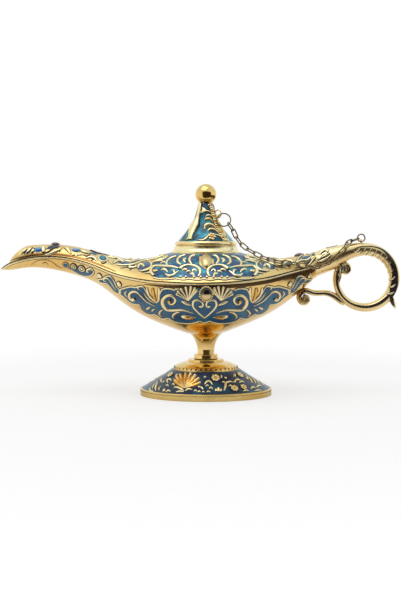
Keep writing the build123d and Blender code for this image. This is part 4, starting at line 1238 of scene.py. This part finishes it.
leaves = [
    [(44.2, 247.0, 1.6), (43.8, 249.6, 2.2), (44.0, 252.4, 1.6)],
    [(108.6, 255.8, .4), (113.0, 256.8, 1.2), (118.0, 258.6, 1.1), (122.0, 259.8, .4)],
    [(107.6, 258.2, .4), (110.4, 261.4, .9), (112.8, 264.4, .5)],
    [(21.6, 254.6, .4), (24.0, 251.4, 1.3), (27.0, 248.8, .6)],
    [(25.6, 254.6, .4), (28.4, 251.4, 1.4), (32.0, 247.8, .6)],
    [(30.2, 254.4, .4), (32.6, 251.6, 1.4), (36.4, 248.2, .5)],
    [(45.0, 255.0, .5), (50.0, 254.0, 1.6), (55.0, 251.8, 1.8), (60.0, 249.6, 1.4),
     (62.4, 248.2, .4)],
    [(64.0, 247.2, .5), (67.4, 248.8, 1.8), (70.0, 252.4, 1.2), (72.0, 254.0, .4)],
    [(79.6, 250.0, .5), (83.0, 251.4, 1.7), (87.0, 253.0, 1.5), (91.0, 252.2, .5)],
    [(76.8, 255.6, .4), (80.0, 254.6, 1.3), (84.6, 255.0, .6)],
    [(86.0, 258.6, .5), (90.0, 257.4, 1.7), (94.6, 258.2, 1.4), (97.0, 261.0, .5)],
]
oval = [(98.4, 257.4), (100.8, 255.4), (104.6, 255.6), (107.2, 257.8), (106.8, 260.2),
        (103.6, 261.2), (100.2, 260.2), (98.4, 257.4)]
small_patch = [(91.2, 253.4), (94.0, 251.8), (97.6, 253.2), (96.0, 255.2), (91.2, 253.4)]
blue_patch = [(45.4, 249.6), (50.0, 246.2), (55.0, 245.4), (60.4, 246.2), (58.0, 247.6),
              (52.0, 249.2), (45.4, 249.6)]
panel("hood_enamel", [outline_of([oval], 0.8), outline_of([small_patch], 0.8)], on_deck,
      teal_enamel, grid=1.2)
panel("hood_blue", [outline_of([blue_patch], 0.8)], on_deck, navy_enamel, grid=1.2)
carve(leaves, on_deck, gold_front, dark_front, grow=1.1, rim=0.5, flat=0.12)
engrave(slits, on_deck, dark_front, 0.5, 0)
gold_front.strand(track(edging([oval], 0.8)[0], on_deck), 0.5)
gold_front.made("spout_relief", pale_gold)
dark_front.made("spout_lines", outline_dark)
print("hood:", len(leaves), "leaves a side")

# %% [markdown]
# ## The lid
#
# Four ribs divide the lid's lacquered cone, two in front and two behind. The left one in front
# is a smooth gold strip that swells twice, the right one a twisted cord of gold and amber.
# Between them hang arched leaves with a flower under them, and an arch closes the field below
# the neck, which is dark above it.
#
# Everything is drawn on the front and then turned half round for the back, as the casting's
# ribs stand in a cross.

# %% Ribs, arches and leaves of the lid
TURN_OF_CORD = 1.9
gold_lid, dark_lid, amber_lid = Relief(), Relief(), Relief()
strip = [(199.8, 203.2, 2.9), (199.0, 211.0, 2.7), (197.4, 217.6, 2.8), (194.4, 225.2, 6.2),
         (191.8, 231.6, 4.6), (190.2, 236.0, 3.0), (189.0, 239.8, 4.4)]
lid_leaves = [
    [(200.4, 213.0, .7), (203.0, 211.6, 1.1), (207.4, 211.4, 1.1), (211.0, 212.6, .7)],
    [(205.6, 217.6, .5), (206.8, 216.0, 1.0), (210.0, 215.6, 1.2), (212.0, 217.0, .6)],
    [(204.4, 221.8, .4), (206.2, 219.2, 1.2), (210.0, 219.4, 1.4), (213.0, 223.0, .6)],
    [(204.4, 229.4, .6), (205.6, 226.0, 1.9), (209.2, 224.8, 2.0), (213.6, 226.6, 1.6),
     (217.0, 230.0, .6)],
    [(207.6, 231.2, .5), (210.0, 229.4, 1.4), (214.6, 230.2, 1.6), (219.0, 234.0, .6)],
    [(198.0, 239.8, .3), (203.3, 240.0, .9), (206.7, 237.5, 1.1), (209.2, 233.6, .5)],
    [(214.0, 234.6, .4), (219.0, 236.0, 1.3), (223.0, 239.0, 1.2), (225.4, 241.4, .5)],
    [(208.4, 206.4, .6), (209.2, 204.8, 1.2), (210.4, 206.2, 1.0), (209.4, 207.8, .5)],
]
carve([strip], on_lid, gold_lid, dark_lid, height=0.24, rim=1.2, flat=0.16)
carve(lid_leaves, on_lid, gold_lid, dark_lid, grow=1.15, rim=0.9, flat=0.18)
engrave([[(192.0, 219.0, .3), (189.6, 226.0, .8), (186.4, 232.6, .9), (183.0, 238.4, .4)],
         [(222.6, 231.0, .3), (226.0, 236.0, 1.0), (228.6, 239.6, .3)]], on_lid, dark_lid, 0.2)

# the cord: one slanting lump a turn, longer lower down, and every third one amber
rope = smooth([(210.6, 206.0), (213.0, 215.0), (216.6, 225.0), (221.0, 234.0), (226.0, 241.4)],
              TURN_OF_CORD)
for i, ((ax, ay), (bx, by)) in enumerate(zip(rope, rope[1:])):
    grow = 1.3 + 1.5 * i / len(rope)
    lump = [(ax - 1.0 * grow, ay + 0.5, 0.8), ((ax + bx) / 2, (ay + by) / 2, 1.8),
            (bx + 1.0 * grow, by - 0.6, 0.8)]
    (gold_lid if i % 3 else amber_lid).strand(track(lump, on_lid, 0.6), 0.75)
cord = track([(x, y, 2.4) for x, y in rope], on_lid)
dark_lid.strand(wider(cord, 0.9), flat=0.2)

# the flower: six petals round an amber middle
for px, py in ((209.4, 236.0), (211.0, 234.4), (213.4, 235.0), (214.4, 237.2), (212.8, 239.2),
               (210.2, 238.6)):
    gold_lid.boss(*on_lid(px, py), [(0.85, 0.2, 0.9), (0.7, 0.65, 0), (0.3, 0.85, 0)], 12)
amber_lid.boss(*on_lid(211.9, 236.9), [(0.8, 0.3, 0.8), (0.6, 0.9, 0), (0.2, 1.05, 0)], 12)
gold_lid.made("lid_relief", pale_gold, HALF_TURN, "lid")
dark_lid.made("lid_lines", outline_dark, HALF_TURN, "lid")
amber_lid.made("lid_cord", amber_gold, HALF_TURN, "lid")

# the dark enamel of the neck, above the arch
neck_sides = [[(201.4, 202.6), (208.4, 202.6)], [(208.4, 202.6), (208.8, 210.2)],
              [(208.8, 210.2), (201.0, 210.2)], [(201.0, 210.2), (201.4, 202.6)]]
panel("lid_neck", [outline_of(neck_sides, 1.2)], on_lid, navy_enamel, grid=1.4,
      scale=HALF_TURN, body="lid")
print("lid:", len(lid_leaves), "leaves and", len(rope) - 1, "turns of cord on each side")

# %% [markdown]
# ## The foot
#
# The skirt carries flowers on navy enamel: a large palmette left of the middle, rosettes, a
# forked stem, small tulips and a row of leaves along the rim. They aren't mirrored on the
# real foot, so each is drawn where the photograph has it. Half a turn round gives the back.

# %% Flowers of the skirt
gold_foot, dark_foot, amber_foot = Relief(), Relief(), Relief()
palm_base = (184.4, 388.6)
palm_tips = [(174.6, 380.6), (176.6, 377.2), (180.4, 374.8), (185.8, 373.8), (190.8, 373.8),
             (195.4, 375.2), (199.0, 378.4), (200.6, 382.8)]
for x, y in palm_tips:
    middle = ((palm_base[0] + 1.6 * x) / 2.6, (palm_base[1] + 1.6 * y) / 2.6)
    lobe = [(*palm_base, .8), (*middle, 2.5), (x, y, 2.0)]
    carve([lobe], on_skirt, amber_foot, dark_foot, height=0.26, rim=0.5, flat=0.16)
    vein = [(*palm_base, .2), (*middle, .7), (x, y, 1.2)]
    gold_foot.strand(track(vein, on_skirt), 0.5, lift=0.3)
stems = [
    [(184.0, 391.4, .4), (180.6, 389.0, 1.5), (176.0, 387.6, 1.2), (173.4, 388.6, .4)],
    [(185.0, 391.6, .4), (188.0, 389.6, 1.5), (192.4, 390.0, .5)],
    [(184.0, 392.4, .4), (179.6, 391.8, 1.3), (175.6, 392.6, .4)],
    [(204.6, 385.0, .4), (206.6, 382.2, 1.3), (210.0, 381.8, 1.3), (212.6, 385.2, .5)],
    [(205.4, 386.8, .4), (207.4, 385.6, 1.2), (208.6, 386.6, .5)],
    [(224.0, 391.4, .4), (225.4, 387.0, 1.4), (226.0, 383.4, 1.2), (230.0, 382.0, 1.1),
     (233.6, 383.0, .4)],
    [(225.8, 384.0, .5), (223.6, 382.2, 1.1), (222.2, 383.0, .4)],
    [(215.4, 391.6, .4), (216.0, 389.6, 1.2), (217.4, 391.6, .5)],
    [(218.2, 391.8, .4), (218.4, 388.4, 1.4), (219.6, 391.6, .5)],
    [(220.6, 391.8, .4), (221.4, 389.6, 1.2), (220.8, 391.8, .5)],
    [(193.6, 392.0, .4), (195.4, 390.8, 1.2), (197.0, 392.0, .4)],
    [(197.6, 392.8, .4), (199.2, 391.6, 1.2), (200.4, 392.8, .4)],
    [(202.0, 393.0, .4), (203.4, 392.0, 1.0), (204.6, 393.0, .4)],
    [(206.6, 392.8, .4), (208.6, 391.8, 1.1), (210.6, 392.8, .4)],
    [(234.6, 381.4, .4), (237.4, 379.8, 1.3), (240.6, 381.2, .5)],
    [(239.0, 383.2, .4), (242.0, 381.8, 1.2), (244.6, 383.4, .4)],
    [(233.4, 377.2, .4), (234.8, 375.0, 1.2), (235.6, 377.6, .4)],
    [(168.0, 383.6, .4), (167.0, 381.0, 1.2), (169.6, 379.4, 1.3), (171.6, 381.2, .6)],
    [(175.4, 377.6, .4), (176.6, 375.0, 1.2), (177.8, 375.2, .4)],
    [(162.6, 392.2, .4), (164.2, 389.8, 1.2), (165.0, 392.2, .4)],
    [(166.0, 392.8, .4), (168.2, 390.8, 1.2), (170.4, 392.2, .5)],
    [(155.6, 391.6, .4), (155.8, 387.0, 1.4), (157.8, 382.6, .5)],
    [(152.2, 389.6, .4), (153.6, 386.0, 1.1), (156.0, 383.4, .4)],
    [(159.0, 391.2, .4), (159.0, 388.6, 1.1), (161.2, 386.4, .4)],
    [(247.0, 376.6, .4), (250.6, 380.4, 1.4), (252.2, 383.8, .5)],
    [(251.0, 377.6, .4), (254.2, 380.8, 1.2), (256.0, 384.2, .4)],
    [(254.0, 378.6, .4), (257.2, 381.4, 1.1), (259.4, 384.6, .4)],
    [(250.6, 389.6, .4), (253.0, 387.6, 1.2), (256.0, 388.2, .4)],
    [(256.6, 388.0, .4), (259.0, 386.0, 1.1), (262.0, 386.4, .4)],
    [(262.0, 391.0, .4), (258.0, 390.6, 1.0), (254.6, 391.6, .4)],
    [(244.6, 374.8, .3), (247.2, 377.6, 1.0), (248.4, 380.6, .4)],
    [(258.6, 381.0, .3), (262.0, 383.4, 1.0), (264.4, 386.4, .3)],
    [(243.0, 391.8, .4), (246.0, 390.6, 1.1), (249.0, 391.4, .4)],
    [(228.6, 386.8, .4), (230.6, 385.6, 1.1), (231.6, 387.6, .4)],
    [(209.0, 389.6, .4), (211.0, 387.8, 1.2), (213.0, 389.8, .4)],
    [(199.0, 386.6, .4), (202.0, 388.2, 1.2), (203.0, 390.2, .4)],
    [(220.6, 374.8, .3), (221.6, 376.8, 1.0), (220.8, 378.8, .3)],
    [(163.0, 377.8, .3), (161.0, 380.4, 1.1), (161.4, 383.0, .4)],
    [(158.6, 380.6, .3), (156.6, 382.6, .9), (155.4, 384.6, .3)],
    [(149.0, 392.6, .4), (149.8, 389.4, 1.1), (152.0, 387.0, .4)],
    [(171.6, 385.4, .4), (173.6, 384.0, 1.1), (174.4, 386.2, .4)],
    [(165.4, 386.4, .4), (167.2, 385.2, 1.0), (168.6, 386.8, .4)],
]
carve(stems, on_skirt, gold_foot, dark_foot, height=0.42, rim=0.6, flat=0.16)
rosettes = [(215.5, 378.2, 2.1, 7), (234.5, 388.8, 1.9, 7), (243.6, 387.6, 1.7, 6),
            (240.2, 375.4, 1.8, 6), (170.4, 375.2, 1.7, 6)]
for px, py, size, count in rosettes:
    place, normal = on_skirt(px, py)
    dark_foot.boss(place, normal, [(size + 0.75, 0.14, 0), (size, 0.16, 0)])
    side = normal.orthogonal().normalized()
    for k in range(count):
        turn = Matrix.Rotation(math.tau * k / count, 3, normal)
        spot = place + turn @ side * size * 0.72 * MM
        gold_foot.boss(spot, normal, [(size * 0.42, 0.2, 0.9), (size * 0.36, 0.45, 0.05),
                                      (size * 0.15, 0.55, 0)], 10)
    amber_foot.boss(place, normal, [(size * 0.42, 0.4, 0.7), (size * 0.3, 0.6, 0),
                                    (size * 0.1, 0.66, 0)], 12)
for px, py in ((205.0, 377.5), (225.6, 378.4), (234.8, 382.4), (191.6, 385.6), (246.6, 379.0),
               (163.6, 382.4), (199.2, 387.4)):
    gold_foot.boss(*on_skirt(px, py), [(0.75, 0.15, 0.9), (0.6, 0.4, 0), (0.2, 0.55, 0)], 10)

# the notches round the cap's band, as dark inlays: painted shade with patina
NOTCHES, BAND_RADIUS, BAND_RISE = 40, 17.2, 1.2
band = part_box("foot_skirt")[1][2] + BAND_RISE * MM
for k in range(NOTCHES):
    turn = math.tau * k / NOTCHES
    spot = Vector((math.cos(turn), math.sin(turn), 0)) * BAND_RADIUS * MM + Vector((0, 0, band))
    outward = Vector((math.cos(turn), math.sin(turn), 0.25)).normalized()
    dark_foot.boss(spot - outward * 0.02 * MM, outward, [(0.36, 0.10, 0), (0.28, 0.12, 0)], 10,
                   stretch=1.4, along=Vector((0, 0, 1)))
gold_foot.made("skirt_flowers", pale_gold, HALF_TURN)
dark_foot.made("skirt_lines", outline_dark, HALF_TURN)
amber_foot.made("skirt_palmette", amber_gold, HALF_TURN)
print("foot:", len(stems), "leaves and", len(rosettes), "rosettes on each side")

# %% [markdown]
# ## The handle
#
# A groove runs round the loop on both faces: a flat dark strip of patina and painted shade.
# It starts thin at the top near the outer edge, widens on the right, ends in the spur, and runs
# on round the foot of the loop into the volute. Slanting leaves lie across it on the inner side,
# from the top down to the spur. A ringed eye closes the volute and the scroll under the tail.

# %% Groove and leaves of the loop
EYE_OUT = 1.3   # how far in front of the middle plane the ringed eyes stand
gold_loop, dark_loop = Relief(), Relief()
grooves = [
    [(353.4, 249.0, .3), (359.0, 247.0, .7), (366.0, 246.4, .7), (373.0, 246.8, .9),
     (379.0, 248.4, 1.2), (385.0, 252.0, 1.6), (390.2, 258.4, 2.2), (393.4, 266.0, 2.9),
     (394.8, 274.0, 3.3), (394.4, 282.0, 3.5), (392.8, 290.0, 3.4), (391.6, 297.0, 2.6),
     (392.4, 303.0, 1.6), (394.0, 306.6, .4)],
    [(389.4, 294.0, .5), (385.6, 298.6, 1.5), (380.0, 302.6, 1.6), (374.0, 305.2, 1.4),
     (367.0, 306.6, 1.3), (360.0, 306.2, 1.1), (353.0, 304.0, .8), (347.0, 300.4, .7),
     (342.4, 296.0, .8), (339.0, 290.0, 1.1), (337.2, 283.0, 1.3), (337.2, 276.0, 1.3),
     (339.0, 270.0, 1.1), (342.0, 266.2, .8)],
]
loop_leaves = [((359.4, 248.6), (353.8, 252.4)), ((365.4, 248.2), (359.6, 254.0)),
               ((371.0, 248.6), (365.6, 255.0)), ((376.6, 250.2), (371.6, 256.4)),
               ((382.0, 252.8), (377.2, 258.6)), ((386.8, 256.8), (381.8, 262.0)),
               ((390.4, 262.2), (385.4, 266.8)), ((393.2, 269.0), (387.8, 272.4)),
               ((395.0, 276.4), (388.8, 279.6)), ((395.6, 284.0), (388.2, 287.4)),
               ((394.6, 291.4), (386.8, 293.8))]
# painted shade with patina: the grooves as flat dark strips
engrave(grooves, on_handle, dark_loop, 0.12, 0.3)
for (ox, oy), (ix, iy) in loop_leaves:
    mx, my = (ox + ix) / 2 + 0.5, (oy + iy) / 2 + 0.9
    laid = track([(ox, oy, .3), (mx, my, 1.0), (ix, iy, .4)], on_handle)
    gold_loop.strand(laid, 0.45, lift=0.08)
    dark_loop.strand(wider(laid, 0.5), flat=0.15)
volute_line = [(343.4, 266.4, .6), (347.4, 265.6, .8), (349.6, 269.0, .8), (347.6, 272.4, .8),
               (344.2, 272.0, .8), (343.4, 269.6, .7), (345.4, 268.4, .5)]
engrave([volute_line], on_handle, dark_loop, 0.1)
scroll_line = [(341.0, 302.4, .3), (338.0, 299.8, .9), (335.0, 297.4, 1.0), (332.0, 296.0, 1.0),
               (329.0, 294.8, 1.0), (326.0, 294.0, 1.0), (323.0, 293.6, 1.0), (318.0, 293.9, .9),
               (312.5, 293.1, .9), (308.0, 291.4, .9), (304.6, 291.6, .9), (301.6, 293.6, .9),
               (299.9, 297.0, .8)]
engrave([scroll_line], on_scroll, dark_loop, 0.1)
for px, py, size in ((345.4, 269.5, 1.9), (304.2, 299.2, 1.7)):
    spot = on_picture(px, py) + Vector((0, -EYE_OUT, 0)) * MM
    rings = [(size, -0.2, 0.9), (size, 0.2, 0.5), (size * 0.8, 0.5, 0.1), (size * 0.6, 0.4, 0.9),
             (size * 0.4, 0.3, 1.0), (size * 0.3, 0.5, 0.2), (size * 0.1, 0.55, 0)]
    gold_loop.boss(spot, Vector((0, -1, 0)), rings, 24)
gold_loop.made("handle_leaves", pale_gold)
dark_loop.made("handle_grooves", outline_dark)
print("handle:", len(loop_leaves), "leaves on each side")

# %% [markdown]
# ## The chain
#
# The chain joins the handle's ring to the lid's ring, so it moves with the lid. Its links are
# the solid's own links, copied in one piece, and the solid itself is hidden.

# %% Chain links
links = bpy.data.objects.new("chain_links", nodes["chain"].data.copy())
scene.collection.objects.link(links)
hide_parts("chain")
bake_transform(links)
print("chain:", len(links.data.vertices), "points")

# %% [markdown]
# ## The size, and the end
#
# Both boxes are compared, and how far the dressed lamp stands out of its solids' box is
# printed. The dressed lamp must not be larger than its solids.

# %% Sizes and finish
dressed_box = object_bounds()
grown = [max(a - b for a, b in zip(cad_box[0], dressed_box[0])),
         max(b - a for a, b in zip(cad_box[1], dressed_box[1]))]
print("stands out of the solids' box by mm:", [round(v / MM, 2) for v in grown])
